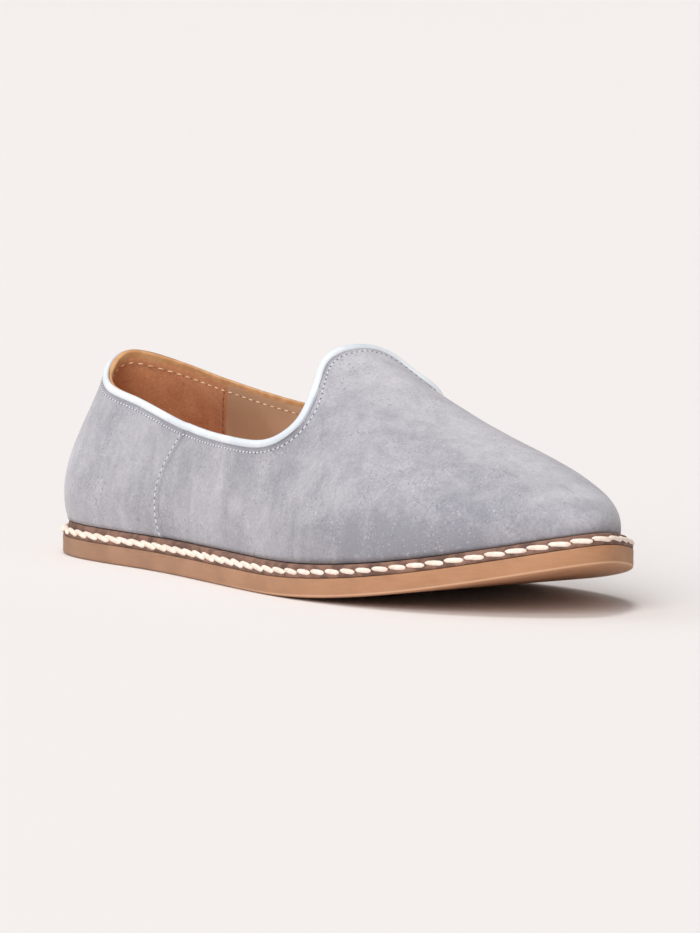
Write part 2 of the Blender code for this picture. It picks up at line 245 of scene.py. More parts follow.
# Places in the spoke table of the tongue's tip, the side seam and the lining's seam, and a seam's half width
TONGUE_TIP = 5.0
SEAM = 14.0
GRIP_SEAM = 15.52
STEP_WIDTH = 0.012

# How far the side seam bows, how the lining's seam leans by the share up it, and how far round both reach
SEAM_BOW = 0.22
GRIP_LEAN = ((0.60, 1.00), (0.14, -0.15))
SEAM_REACH = 1.5

# Where fairing sets in and ends, and where normals are taken from lower down the section, at this share
FAIRING_FROM = (1.0, 3.0)
FAIRING_TO = (11.0, 13.0)
STEADY_FROM = (5.9, 6.7)
STEADY_SHARE = 0.77

# Rim of the outsole from its underside to its top, and of the welt from the outsole to its lip
OUTSOLE_RIM = [
    Edge(1.30 * MM, 0.00 * MM),
    Edge(0.75 * MM, 0.06 * MM),
    Edge(0.30 * MM, 0.28 * MM),
    Edge(0.06 * MM, 0.66 * MM),
    Edge(0.00 * MM, 1.10 * MM),
    Edge(0.05 * MM, 3.00 * MM),
    Edge(0.00 * MM, 5.30 * MM),
    Edge(0.10 * MM, 5.68 * MM),
    Edge(0.45 * MM, 5.86 * MM),
    Edge(1.20 * MM, 5.92 * MM),
]
WELT_RIM = [
    Edge(0.60 * MM, -0.66 * MM),
    Edge(0.22 * MM, -0.60 * MM),
    Edge(0.12 * MM, -0.35 * MM),
    Edge(0.12 * MM, 0.30 * MM),
    Edge(0.20 * MM, 0.56 * MM),
    Edge(0.45 * MM, 0.72 * MM),
    Edge(0.80 * MM, 0.70 * MM),
    Edge(1.20 * MM, 0.86 * MM),
    Edge(1.55 * MM, 1.20 * MM),
    Edge(1.72 * MM, 0.80 * MM, 0.35),
    Edge(1.85 * MM, 0.40 * MM, 0.70),
    Edge(2.00 * MM, 0.05 * MM, 0.95),
    Edge(2.30 * MM, 0.00 * MM, 1.00),
    Edge(5.50 * MM, 0.00 * MM, 1.00),
]

# Soft troughs and ridges on both sides of the wall, strength in metres
CREASES = [
    Spot(0.470, 0.36, 0.030, 0.17, 0.30, -0.45 * MM),
    Spot(0.395, 0.34, 0.026, 0.18, 0.15, 0.25 * MM),
    Spot(0.225, 0.34, 0.018, 0.20, -0.10, 0.20 * MM),
    Spot(0.165, 0.40, 0.022, 0.18, -0.10, -0.20 * MM),
    Spot(0.640, 0.52, 0.024, 0.16, 0.55, -0.30 * MM),
    Spot(0.700, 0.44, 0.022, 0.15, 0.55, -0.22 * MM),
    Spot(0.860, 0.36, 0.016, 0.16, 0.35, -0.18 * MM),
]

# Brushed patches of the suede's pile, with painted light at the heel back and toe and painted shade low
# towards the toe; strength above 0 where the suede is lighter
BRUSHING_AND_PAINTED_LIGHT = [
    Spot(0.430, 0.36, 0.014, 0.15, 0.05, 0.60),
    Spot(0.471, 0.27, 0.020, 0.07, 0.00, -0.50),
    Spot(0.485, 0.24, 0.012, 0.07, 0.00, 0.15),
    Spot(0.545, 0.22, 0.018, 0.07, 0.00, 0.40),
    Spot(0.345, 0.42, 0.028, 0.22, -0.20, -0.30),
    Spot(0.470, 0.52, 0.040, 0.10, 0.00, -0.30),
    Spot(0.180, 0.45, 0.060, 0.20, 0.00, -0.05),
    Spot(0.020, 0.38, 0.050, 0.26, 0.00, 1.80),
    Spot(0.565, 0.55, 0.040, 0.18, 0.30, -0.55),
    Spot(0.600, 0.85, 0.060, 0.14, 0.00, 0.25),
    Spot(0.630, 0.68, 0.022, 0.04, 0.20, -0.35),
    Spot(0.750, 0.60, 0.080, 0.12, 0.00, -0.15),
    Spot(0.690, 0.26, 0.090, 0.11, 0.00, -0.60),
    Spot(0.810, 0.29, 0.090, 0.14, 0.00, -1.25),
    Spot(0.900, 0.31, 0.040, 0.07, 0.00, -0.45),
    Spot(0.930, 0.49, 0.020, 0.06, 0.00, 1.05),
    Spot(0.905, 0.44, 0.030, 0.06, 0.00, -0.75),
]

# Kinds of stitches
WELT_STITCH = Stitch(6.5 * MM, 6.9 * MM, 1.70 * MM, 1.90 * MM, 0.60, -0.16, 0.90 * MM)
TOPLINE_STITCH = Stitch(1.9 * MM, 1.25 * MM, 0.50 * MM, 0.36 * MM, 0.90, 0.12, 0.55 * MM)
SEAM_STITCH = TOPLINE_STITCH._replace(hole=0.50 * MM)
LINING_STITCH = Stitch(3.2 * MM, 1.7 * MM, 0.55 * MM, 0.40 * MM, 0.90, 0.10, 0.50 * MM)
GRIP_STITCH = Stitch(2.6 * MM, 1.6 * MM, 0.50 * MM, 0.36 * MM, 0.90, 0.10, 0.45 * MM)


def spline(points: Sequence[Sequence[float]], count: int, closed: bool) -> np.ndarray:
    """Draw a cubic spline through points, natural at its ends or closed.

    Args:
        points: the places that it goes through.
        count: how many samples it has, even in its parameter.
        closed: whether it joins its first point again.

    Returns:
        Samples, a row each.
    """
    points = np.asarray(points, float)
    ahead = np.roll(points, -1, 0) if closed else points[1:]
    spans = np.linalg.norm(ahead - points[:len(ahead)], axis=1)
    size = len(points)
    matrix = np.eye(size)
    right = np.zeros_like(points)
    for i in range(0 if closed else 1, size if closed else size - 1):
        before, after = spans[i - 1], spans[i]
        following = (i + 1) % size
        matrix[i, i] = 2 * (before + after)
        matrix[i, i - 1] = before
        matrix[i, following] = after
        right[i] = 6 * ((points[following] - points[i]) / after - (points[i] - points[i - 1]) / before)
    bend = np.linalg.solve(matrix, right)
    knots = np.concatenate([[0], np.cumsum(spans)])
    where = np.linspace(0, knots[-1], count, endpoint=not closed)
    i = np.clip(np.searchsorted(knots, where, side="right") - 1, 0, len(spans) - 1)
    j = (i + 1) % size
    span = spans[i][:, None]
    left = (where - knots[i])[:, None]
    rest = span - left
    cubic = (bend[i] * rest ** 3 + bend[j] * left ** 3) / (6 * span)
    start = (points[i] / span - bend[i] * span / 6) * rest
    end = (points[j] / span - bend[j] * span / 6) * left
    return cubic + (start + end)


def along(curve: np.ndarray, share: np.ndarray) -> np.ndarray:
    """Find points at shares of a curve's length.

    Args:
        curve: points in its first three columns, and any values to carry along in the rest.
        share: places from 0 to 1.

    Returns:
        A row of the curve's columns for each place.
    """
    steps = np.linalg.norm(np.diff(curve[:, :3], axis=0), axis=1)
    length = np.concatenate([[0], np.cumsum(steps)])
    return np.stack([np.interp(share, length / length[-1], column) for column in curve.T], axis=-1)


def eased(places: Sequence[float], values: Sequence[float], where: np.ndarray) -> np.ndarray:
    """Read a table's column on a smooth curve that never overshoots its rows.

    Args:
        places: where the rows are, rising.
        values: the column.
        where: places to read.

    Returns:
        A value for each place.
    """
    places = np.asarray(places, float)
    values = np.asarray(values, float)
    spans = np.diff(places)
    rates = np.diff(values) / spans
    slopes = np.zeros_like(values)
    same_sign = rates[:-1] * rates[1:] > 0
    near = 2 * spans[1:] + spans[:-1]
    far = spans[1:] + 2 * spans[:-1]
    safe = np.where(same_sign, rates[:-1], 1.0), np.where(same_sign, rates[1:], 1.0)
    slopes[1:-1] = np.where(same_sign, (near + far) / (near / safe[0] + far / safe[1]), 0.0)
    i = np.clip(np.searchsorted(places, where, side="right") - 1, 0, len(spans) - 1)
    u = np.clip((where - places[i]) / spans[i], 0, 1)
    rise = u * u * (3 - 2 * u)
    lead_in = u * (1 - u) ** 2 * spans[i] * slopes[i]
    lead_out = u * u * (u - 1) * spans[i] * slopes[i + 1]
    return values[i] * (1 - rise) + values[i + 1] * rise + lead_in + lead_out


def blend(low: float, high: float, value: np.ndarray) -> np.ndarray:
    """Smooth step from 0 at low to 1 at high."""
    u = np.clip((value - low) / (high - low), 0, 1)
    return u * u * (3 - 2 * u)


def unit(vectors: np.ndarray) -> np.ndarray:
    """Vectors scaled to length 1."""
    return vectors / np.maximum(np.linalg.norm(vectors, axis=-1, keepdims=True), TINY)


def softened(values: np.ndarray, passes: int) -> np.ndarray:
    """Even out the rows of a closed loop.

    Args:
        values: a row for each place round the loop.
        passes: how often each row is mixed with those beside it.

    Returns:
        The evened rows.
    """
    for _ in range(passes):
        values = (np.roll(values, 1, 0) + 2 * values + np.roll(values, -1, 0)) / 4
    return values


def even(value: float) -> Column:
    """A column with one value all along."""
    return lambda share: np.full_like(share, value)


def tone(colour: Screen) -> tuple[float, ...]:
    """Linear colour, with full opacity, of an 8-bit screen colour."""
    return (*(((level / 255 + 0.055) / 1.055) ** 2.4 for level in colour), 1.0)


def quads(index: np.ndarray) -> np.ndarray:
    """Faces between the rows of a grid of point numbers, four corners a row."""
    corners = index[:-1, :-1], index[1:, :-1], index[1:, 1:], index[:-1, 1:]
    return np.stack([corner.ravel() for corner in corners], axis=1)


def closed_rows(index: np.ndarray) -> np.ndarray:
    """A grid of point numbers whose rows come back to their start."""
    return np.column_stack([index, index[:, 0]])


class Chain(NamedTuple):
    """One side of the sole's outline from toe tip to heel back, with its outward normals."""
    points: np.ndarray
    normals: np.ndarray


class Loop(NamedTuple):
    """Line on the shoe: its points, the way out of the surface and the way up from its edge."""
    points: np.ndarray
    outward: np.ndarray
    upward: np.ndarray


@dataclass(frozen=True)
class Last:
    """Form that the shoe is made on, with the lines that its pieces follow."""
    length: float = 252.0 * MM
    ball_width: float = 85.0 * MM
    instep: float = 70.2 * MM
    toe_spring: float = 15.5 * MM
    spring_from: float = 0.545
    outsole_thick: float = 6.3 * MM
    wall: float = 1.8 * MM
    gap: float = 0.3 * MM
    samples: int = 1440
    row_crowding: float = 1.3
    turn_from: float = 1.2
    turn_to: float = 1.5
    topline_weight: float = 2.0
    fairing_columns: int = 85
    fairing_passes: int = 40
    fairing_reach: float = 3.5
    seam_clearance: float = 1.5

    def placed(self, station: float, across: float, height: float) -> Triple:
        """Point of a table's row."""
        return station * self.length, across * self.ball_width, height * self.instep

    @cached_property
    def chains(self) -> dict[Side, Chain]:
        """Draw the sole's outline.

        Returns:
            Its two sides from toe to heel.
        """
        outer = [(row.station * self.length, -row.outer * self.ball_width) for row in OUTLINE]
        inner = [(row.station * self.length, row.inner * self.ball_width) for row in OUTLINE[-2:0:-1]]
        loop = spline(outer + inner, self.samples, True)
        heading = unit(np.roll(loop, -1, 0) - np.roll(loop, 1, 0))
        normals = np.stack([heading[:, 1], -heading[:, 0]], axis=1)
        normals *= np.sign(np.sum(normals * (loop - loop.mean(axis=0))))
        both = np.concatenate([loop, normals], axis=1)
        both = np.roll(both, -np.argmax(both[:, 0]), 0)
        heel = np.argmin(both[:, 0])
        first = both[:heel + 1]
        second = np.concatenate([both[heel:], both[:1]])[::-1]
        return {
            Side.OUTER: Chain(first[:, :2], first[:, 2:]),
            Side.INNER: Chain(second[:, :2], second[:, 2:]),
        }

    @cached_property
    def middle(self) -> np.ndarray:
        """Shift that puts the shoe's middle over the origin."""
        outline = np.concatenate([chain.points for chain in self.chains.values()])
        return np.array([*(outline.min(axis=0) + outline.max(axis=0)) / -2, 0.0])

    @cached_property
    def crest(self) -> np.ndarray:
        """Crest of the vamp from the toe to the tip of the tongue."""
        return spline([self.placed(*row) for row in RIDGE], self.samples, False)

    @cached_property
    def toplines(self) -> dict[Side, np.ndarray]:
        """Draw the topline.

        Returns:
            Its two sides from the tongue tip to the heel back.
        """
        outer = [self.placed(row.station, -row.outer, row.outer_height) for row in COLLAR]
        inner = [self.placed(row.station, row.inner, row.inner_height) for row in COLLAR]
        loop = spline(outer + inner[-2:0:-1], self.samples, True)
        heel = np.argmin(loop[:, 0])
        return {Side.OUTER: loop[:heel + 1], Side.INNER: np.concatenate([loop[heel:], loop[:1]])[::-1]}

    def spring(self, x: np.ndarray) -> np.ndarray:
        """Height of the sole's underside above the floor, x from the heel back."""
        past = np.clip((x / self.length - self.spring_from) / (1 - self.spring_from), 0, None)
        return self.toe_spring * past ** 2

    def rim(self, name: str) -> Column:
        """A column of the rim table as a function of the share from toe to heel."""
        return lambda share: eased([row.share for row in RIM], [getattr(row, name) for row in RIM], share)

    def welt_top(self, share: np.ndarray) -> np.ndarray:
        """Height of the welt's lip above the underside."""
        return self.outsole_thick + self.gap + self.rim("lip")(share)

    def side_line(self, side: Side, inset: Column, height: Column) -> np.ndarray:
        """Draw a line beside the sole's outline.

        Args:
            side: which side of the foot.
            inset: how far inside the outline, by the share from toe to heel.
            height: how far above the underside, by the same share.

        Returns:
            Points from toe to heel.
        """
        chain = self.chains[side]
        share = np.linspace(0, 1, len(chain.points))
        plan = chain.points - chain.normals * inset(share)[:, None]
        return np.column_stack([plan, self.spring(plan[:, 0]) + height(share)])

    def ring(self, inset: Column, height: Column, steps: int) -> np.ndarray:
        """Draw a closed ring round the sole.

        Args:
            inset: how far inside the outline, by the share from toe to heel.
            height: how far above the underside, by the same share.
            steps: how many steps each side has.

        Returns:
            Points from the toe along the outer side to the heel and back along the inner side.
        """
        shares = np.linspace(0, 1, steps + 1)
        outer, inner = (along(self.side_line(side, inset, height), shares) for side in Side)
        return np.concatenate([outer, inner[-2:0:-1]])

    def spoke(self, name: str, where: np.ndarray) -> np.ndarray:
        """A column of the spoke table at places between its rows."""
        return eased(np.arange(len(SPOKES)), [getattr(row, name) for row in SPOKES], where)

    def base_line(self, side: Side) -> np.ndarray:
        """Lower edge of the upper on one side, just above the lip of the welt."""
        return self.side_line(side, self.rim("inset"), lambda share: self.welt_top(share) + self.gap)

    def tops(self, side: Side, share: np.ndarray) -> np.ndarray:
        """Places on the crest for shares up to 1, then on the topline."""
        topline = along(self.toplines[side], np.clip(share - 1, 0, 1))
        return np.where((share <= 1)[:, None], along(self.crest, np.clip(share, 0, 1)), topline)

    def places(self, columns: int, fixed: Sequence[float]) -> np.ndarray:
        """Spread sections evenly over the wall.

        Args:
            columns: how many there are.
            fixed: places in the spoke table that each get a section.

        Returns:
            Places in the spoke table.
        """
        dense = np.linspace(0, len(SPOKES) - 1, self.samples)
        low = along(self.base_line(Side.OUTER), self.spoke("base", dense))
        high = self.tops(Side.OUTER, self.spoke("top", dense))
        low_step, high_step = (np.linalg.norm(np.diff(line, axis=0), axis=1) for line in (low, high))
        run = np.concatenate([[0], np.cumsum(low_step + self.topline_weight * high_step)])
        spread = np.interp(np.linspace(0, run[-1], columns), run, dense)
        room = self.seam_clearance * STEP_WIDTH
        clear = [place for place in spread if min(abs(place - own) for own in fixed) > room]
        return np.array(sorted(clear + list(fixed)))

    def half(self, side: Side, where: np.ndarray, rows: int, lap: float) -> np.ndarray:
        """Work out the outside of one half of the upper.

        Args:
            side: which half.
            where: places of its sections in the spoke table, from toe to heel.
            rows: how many steps a section has from its base to its top.
            lap: how far the panel behind the side seam stands proud.

        Returns:
            Points in rows of sections.
        """
        chain = self.chains[side]
        low = along(np.column_stack([self.base_line(side), chain.normals]), self.spoke("base", where))
        out = np.column_stack([unit(low[:, 3:]), np.zeros(len(low))])
        out[0] = (1, 0, 0)
        out[-1] = (-1, 0, 0)
        low = low[:, :3]
        top_share = self.spoke("top", where)
        high = self.tops(side, top_share)
        rise = np.column_stack([np.zeros((len(low), 2)), high[:, 2] - low[:, 2]])

        # Over the crest a section spreads straight sideways, and round the heel along the sole's outline
        turn = blend(self.turn_from, self.turn_to, top_share)[:, None]
        spread = unit(out * turn + np.array([0.0, side.value, 0.0]) * (1 - turn))
        slope = np.gradient(self.crest[:, 2]) / np.gradient(self.crest[:, 0])
        slope = np.interp(np.clip(top_share, 0, 1), np.linspace(0, 1, len(slope)), slope)
        lead = self.spoke("high_lead", where)
        forward = np.column_stack([lead, np.zeros(len(lead)), lead * slope])

        shape = {name: self.spoke(name, where)[:, None] for name in Spoke._fields}
        first = low + shape["low_out"] * out + shape["low_rise"] * rise
        second = high + shape["high_out"] * spread + forward - shape["high_drop"] * rise
        t = (1 - (1 - np.linspace(0, 1, rows + 1)) ** self.row_crowding)[:, None, None]
        left = 1 - t
        grid = left ** 3 * low + 3 * left ** 2 * t * first + 3 * left * t ** 2 * second + t ** 3 * high
        grid = self.bowed(self.faired(grid, t, where), t, where)
        return grid + np.where(where > SEAM, lap, 0.0)[:, None] * out

    def bowed(self, grid: np.ndarray, t: np.ndarray, where: np.ndarray) -> np.ndarray:
        """Slide the sections near the seams along the wall, to bow the side seam and lean the lining's.

        Args:
            grid: points in rows of sections.
            t: how far up its section each row is, from 0 to 1.
            where: places of the sections in the spoke table.

        Returns:
            The points after sliding, on the same surface.
        """
        by_seam, by_grip = (blend(SEAM_REACH, 0.0, np.abs(where - place)) for place in (SEAM, GRIP_SEAM))
        rows = []
        for share, row in zip(t.ravel(), grid):
            moved = where + SEAM_BOW * np.sin(np.pi * share) * by_seam
            moved = moved + np.interp(share, *GRIP_LEAN) * by_grip
            rows.append(np.stack([np.interp(moved, where, axis) for axis in row.T], axis=1))
        return np.array(rows)

    def faired(self, grid: np.ndarray, t: np.ndarray, where: np.ndarray) -> np.ndarray:
        """Even out the sections between the toe and the waist, holding the base and the top.

        Args:
            grid: points in rows of sections.
            t: how far up its section each row is, from 0 to 1.
            where: places of the sections in the spoke table.

        Returns:
            The evened points.
        """
        inside = np.minimum(1.0, self.fairing_reach * t * (1 - t))
        span = (blend(*FAIRING_FROM, where) * (1 - blend(*FAIRING_TO, where)))[None, :, None]
        for _ in range(round(self.fairing_passes * (len(where) / self.fairing_columns) ** 2)):
            beside = (np.roll(grid, 1, axis=1) + np.roll(grid, -1, axis=1)) / 2
            grid = grid + inside * span * (beside - grid) / 2
        return grid


def spots(table: Sequence[Spot], last: Last, points: np.ndarray) -> np.ndarray:
    """Add up soft spots over the upper.

    Args:
        table: the spots.
        last: the form that gives their sizes.
        points: places on the upper.

    Returns:
        A strength for each place.
    """
    total = np.zeros(len(points))
    for spot in table:
        ahead = points[:, 0] / last.length - spot.station
        above = points[:, 2] / last.instep - spot.height
        across = ahead - spot.lean * above * last.instep / last.length
        total += spot.strength * np.exp(-(across / spot.along) ** 2 - (above / spot.up) ** 2)
    return total


def corner_normals(points: np.ndarray, faces: np.ndarray) -> np.ndarray:
    """Work out a surface's normal at each of its points.

    Args:
        points: the points.
        faces: four corners a row, counter-clockwise from outside.

    Returns:
        A unit vector for each point.
    """
    first = points[faces[:, 2]] - points[faces[:, 0]]
    second = points[faces[:, 3]] - points[faces[:, 1]]
    across = np.cross(first, second)
    total = np.zeros_like(points)
    for corner in range(4):
        np.add.at(total, faces[:, corner], across)
    return unit(total)


@dataclass(frozen=True)
class Shell:
    """Outside of the upper as one surface of sections, its halves joined at toe, crest and heel."""
    last: Last
    columns: int
    rows: int
    lap: float
    fixed: tuple[float, ...]
    outward_passes: int = 3
    heading_passes: int = 2
    upward_passes: int = 6

    @cached_property
    def where(self) -> np.ndarray:
        """Places of the sections in the spoke table."""
        return self.last.places(self.columns, self.fixed)

    @cached_property
    def index(self) -> dict[Side, np.ndarray]:
        """Number the points, which the halves share at toe, crest and heel.

        Returns:
            Numbers in rows of sections, for each half.
        """
        shape = (self.rows + 1, len(self.where))
        outer = np.arange(shape[0] * shape[1]).reshape(shape)
        inner = np.full(shape, -1)
        inner[:, 0] = outer[:, 0]
        inner[:, -1] = outer[:, -1]
        on_crest = self.where <= TONGUE_TIP
        inner[-1, on_crest] = outer[-1, on_crest]
        own = inner < 0
        inner[own] = outer.size + np.arange(own.sum())
        return {Side.OUTER: outer, Side.INNER: inner}

    @cached_property
    def faces(self) -> np.ndarray:
        """Faces of both halves, turned outwards."""
        return np.concatenate([quads(self.index[Side.OUTER]), quads(self.index[Side.INNER])[:, ::-1]])

    @cached_property
    def places(self) -> np.ndarray:
        """Place in the spoke table of each point."""
        grid = np.broadcast_to(self.where, self.index[Side.OUTER].shape)[..., None]
        return self.gather({side: grid for side in Side})[:, 0]

    @cached_property
    def plain(self) -> np.ndarray:
        """Points before the creases are pressed in."""
        return self.gather({side: self.last.half(side, self.where, self.rows, self.lap) for side in Side})

    @cached_property
    def points(self) -> np.ndarray:
        """Points of the creased surface."""
        press = spots(CREASES, self.last, self.plain)
        return self.plain + corner_normals(self.plain, self.faces) * press[:, None]

    @cached_property
    def normals(self) -> np.ndarray:
        """Outward normals of the creased surface."""
        return corner_normals(self.points, self.faces)

    @cached_property
    def below(self) -> np.ndarray:
        """How far each point lies below the top of its section."""
        falls = {side: self.points[index] - self.points[index[-1]] for side, index in self.index.items()}
        return np.linalg.norm(self.gather(falls), axis=1)

    @cached_property
    def steady(self) -> np.ndarray:
        """Steady the normals beside the throat, where the sections meet the topline at a slant.

        Returns:
            A unit vector for each point.
        """
        share = blend(*STEADY_FROM, self.where)[None, :, None]
        level = round(STEADY_SHARE * self.rows)
        grids = {}
        for side in Side:
            grid = self.normals[self.index[side]]
            grid[level:] += share * (grid[level] - grid[level:])
            grids[side] = grid
        return unit(self.gather(grids))

    @cached_property
    def rim(self) -> np.ndarray:
        """Numbers of the points along the topline, from the tongue tip by the outer side and back."""
        outer, inner = (self.index[side][-1, self.where >= TONGUE_TIP] for side in Side)
        return np.concatenate([outer, inner[-2:0:-1]])

    @cached_property
    def tree(self) -> BVHTree:
        """Search tree over the surface."""
        return BVHTree.FromPolygons(self.points.tolist(), self.faces.tolist())

    def gather(self, grids: dict[Side, np.ndarray]) -> np.ndarray:
        """Put the values of both halves in the order of the points.

        Args:
            grids: values in rows of sections, for each half.

        Returns:
            A row for each point.
        """
        total = max(index.max() for index in self.index.values()) + 1
        values = np.zeros((total, grids[Side.OUTER].shape[-1]))
        for side in (Side.INNER, Side.OUTER):
            values[self.index[side].ravel()] = grids[side].reshape(-1, values.shape[1])
        return values

    def topline(self, sink: float) -> Loop:
        """Find the edge of the collar.

        Args:
            sink: how far inside the surface the edge lies.

        Returns:
            The edge, with the ways outward and upward from it.
        """
        outward = softened(self.steady[self.rim], self.outward_passes)
        points = self.points[self.rim] - sink * outward
        heading = unit(softened(np.roll(points, -1, 0) - np.roll(points, 1, 0), self.heading_passes))
        upward = unit(np.cross(outward, heading))
        upward *= np.sign(upward[:, 2].sum())
        return Loop(points, unit(outward), unit(softened(upward, self.upward_passes)))

    def laid_on(self, points: np.ndarray) -> tuple[np.ndarray, np.ndarray]:
        """Lay points on the surface.

        Args:
            points: places near it.

        Returns:
            The nearest places on it, and its normals there.
        """
        found = [self.tree.find_nearest(Vector(point)) for point in points]
        return np.array([hit[0] for hit in found]), np.array([hit[1] for hit in found])

    def section(self, side: Side, place: float, low: float, high: float, count: int) -> np.ndarray:
        """Draw a line up the wall along a section.

        Args:
            side: which half.
            place: the section's place in the spoke table.
            low: share of the section where the line starts.
            high: share of the section where it ends.
            count: how many points it has.

        Returns:
            Points on the surface.
        """
        grid = self.points[self.index[side]]
        column = [[np.interp(place, self.where, axis) for axis in row.T] for row in grid]
        return along(np.array(column), np.linspace(low, high, count))


LAST = Last()


@dataclass
class NodeSheet:
    """Adds nodes to a tree and joins them."""
    tree: bpy.types.NodeTree

    # Numbers of the Mix node's sockets for colours
    MIX_INPUTS = (0, 6, 7)
    MIX_OUTPUT = 2

    def add(self, kind: str, inputs: dict[str | int, object] | None = None, **settings: object) -> Node:
        """Add a node.

        Args:
            kind: Blender's name for it.
            inputs: a value or a socket to link, by the input's name or number.
            settings: the node's own properties.

        Returns:
            The node.
        """
        node = self.tree.nodes.new(kind)
        for name, value in settings.items():
            setattr(node, name, value)
        for name, value in (inputs or {}).items():
            self.feed(node.inputs[name], value)
        return node

    def feed(self, socket: Socket, value: object) -> None:
        """Link a socket to an input, or set its value.

        Args:
            socket: the input.
            value: an output socket, or a constant.
        """
        if isinstance(value, Socket):
            self.tree.links.new(value, socket)
        else:
            socket.default_value = value

    def math(self, operation: str, *values: object) -> Socket:
        """Output of a Math node."""
        return self.add("ShaderNodeMath", dict(enumerate(values)), operation=operation).outputs[0]

    def noise(self, vector: object, size: float, detail: float, swirl: float = 0.0) -> Socket:
        """Value of a noise texture, about 0.5 in the mean, whose blotches are about as wide as size."""
        inputs = {"Vector": vector, "Scale": 1 / size, "Detail": detail, "Distortion": swirl}
        return self.add("ShaderNodeTexNoise", inputs).outputs["Fac"]

    def remap(self, value: object, low: float, high: float, least: float = 0.0, most: float = 1.0) -> Socket:
        """Value that is spread smoothly from the range of low and high to that of least and most."""
        inputs = {"Value": value, "From Min": low, "From Max": high, "To Min": least, "To Max": most}
        return self.add("ShaderNodeMapRange", inputs, interpolation_type="SMOOTHSTEP").outputs["Result"]

    def layer(self, vector: object, layer: Layer) -> Socket:
        """Value of a layer of noise."""
        noise = self.noise(vector, layer.size, layer.detail, layer.swirl)
        return self.remap(noise, layer.low, layer.high, layer.least, layer.most)

    def mix(self, factor: object, first: object, second: object, way: str = "MIX") -> Socket:
        """Mix two colours, each a socket or a screen colour.

        Args:
            factor: how much of the second.
            first: the first colour.
            second: the second colour.
            way: Blender's name for how they mix.

        Returns:
            The mixed colour.
        """
        node = self.add("ShaderNodeMix", data_type="RGBA", blend_type=way)
        for number, value in zip(self.MIX_INPUTS, (factor, first, second)):
            self.feed(node.inputs[number], tone(value) if isinstance(value, tuple) else value)
        return node.outputs[self.MIX_OUTPUT]

    def stretched(self, vector: object, scale: Triple, turn: float) -> Socket:
        """Coordinates scaled and turned about Y."""
        inputs = {"Vector": vector, "Scale": scale, "Rotation": (0.0, turn, 0.0)}
        return self.add("ShaderNodeMapping", inputs).outputs["Vector"]


@dataclass(frozen=True)
class Finish:
    """Surface with two screen colours that cloud into each other, and a fine grain."""
    name: str
    light: Screen
    dark: Screen
    roughness: float
    cloud: float
    grain: float
    grain_depth: float
    sheen: float = 0.0
    sheen_roughness: float = 0.45
    grain_detail: float = 3.0

    def material(self) -> bpy.types.Material:
        """Make the material, or find the one made before.

        Returns:
            The material.
        """
        found = bpy.data.materials.get(self.name)
        if found is not None:
            return found
        material = bpy.data.materials.new(self.name)
        material.use_nodes = True
        sheet = NodeSheet(material.node_tree)
        shader = material.node_tree.nodes["Principled BSDF"]
        place = sheet.add("ShaderNodeTexCoord").outputs["Object"]
        sheet.feed(shader.inputs["Base Color"], self.colour(sheet, place))
        sheet.feed(shader.inputs["Normal"], self.relief(sheet, place))
        shader.inputs["Roughness"].default_value = self.roughness
        shader.inputs["Sheen Weight"].default_value = self.sheen
        shader.inputs["Sheen Roughness"].default_value = self.sheen_roughness
        return material

    def colour(self, sheet: NodeSheet, place: Socket) -> Socket:
        """Colour of the two tones clouded into each other."""
        clouds = sheet.layer(place, Layer(self.cloud, 4.0, 0.4, 0.35, 0.65, 0.0, 1.0))
        return sheet.mix(clouds, self.dark, self.light)

    def relief(self, sheet: NodeSheet, place: Socket) -> Socket:
        """Raise the grain.

        Args:
            sheet: where nodes are added.
            place: coordinates on the piece.

        Returns:
            The bumped normal.
        """
        grain = sheet.noise(place, self.grain, self.grain_detail)
        inputs = {"Height": grain, "Distance": self.grain_depth, "Strength": 1.0}
        return sheet.add("ShaderNodeBump", inputs).outputs["Normal"]


@dataclass(frozen=True)
class Suede(Finish):
    """Napped leather with brushed patches and painted light and shade read from its points, strokes, pale
    specks and dark pits.
    """
    speck: Screen = (232, 231, 236)
    pit: Screen = (120, 117, 126)
    contrast: float = 0.37
    strokes: Layer = Layer(4.0 * MM, 3.0, 0.2, 0.30, 0.70, -0.20, 0.20)
    stroke_stretch: Triple = (1.0, 1.0, 0.22)
    stroke_turn: float = 0.1
    fine: Layer = Layer(0.9 * MM, 3.0, 0.0, 0.30, 0.70, -0.26, 0.26)
    marks: Layer = Layer(6.5 * MM, 3.0, 0.9, 0.44, 0.58, -0.12, 0.12)
    drift: Layer = Layer(11 * MM, 2.0, 0.0, 0.40, 0.65, 0.25, 1.00)
    specks: Layer = Layer(0.75 * MM, 1.0, 0.0, 0.61, 0.73, 0.00, 0.28)
    pits: Layer = Layer(0.8 * MM, 1.0, 0.0, 0.39, 0.29, 0.00, 0.65)
    pit_turn: float = 0.6

    def colour(self, sheet: NodeSheet, place: Socket) -> Socket:
        """Lay the suede light and dark, from the brushed patches and the painted light and shade on its
        points.

        Args:
            sheet: where nodes are added.
            place: coordinates on the piece.

        Returns:
            The colour.
        """
        clouds = Layer(self.cloud, 4.0, 0.7, 0.30, 0.70, -0.30, 0.30)
        leaning = sheet.stretched(place, self.stroke_stretch, self.stroke_turn)
        # Point values: brushed patches, painted light and painted shade
        total = sheet.add("ShaderNodeAttribute", attribute_name=BRUSHED_AND_PAINTED_LIGHT).outputs["Fac"]
        layers = (place, clouds), (leaning, self.strokes), (place, self.fine), (place, self.marks)
        for where, layer in layers:
            total = sheet.math("ADD", total, sheet.layer(where, layer))
        laid = sheet.math("MULTIPLY_ADD", total, self.contrast, self.contrast)
        colour = sheet.mix(laid, self.dark, self.light)
        drift = sheet.layer(place, self.drift)
        turned = sheet.stretched(place, (1.0, 1.0, 1.0), self.pit_turn)
        for where, layer, own in ((place, self.specks, self.speck), (turned, self.pits, self.pit)):
            colour = sheet.mix(sheet.math("MULTIPLY", sheet.layer(where, layer), drift), colour, own)
        return colour


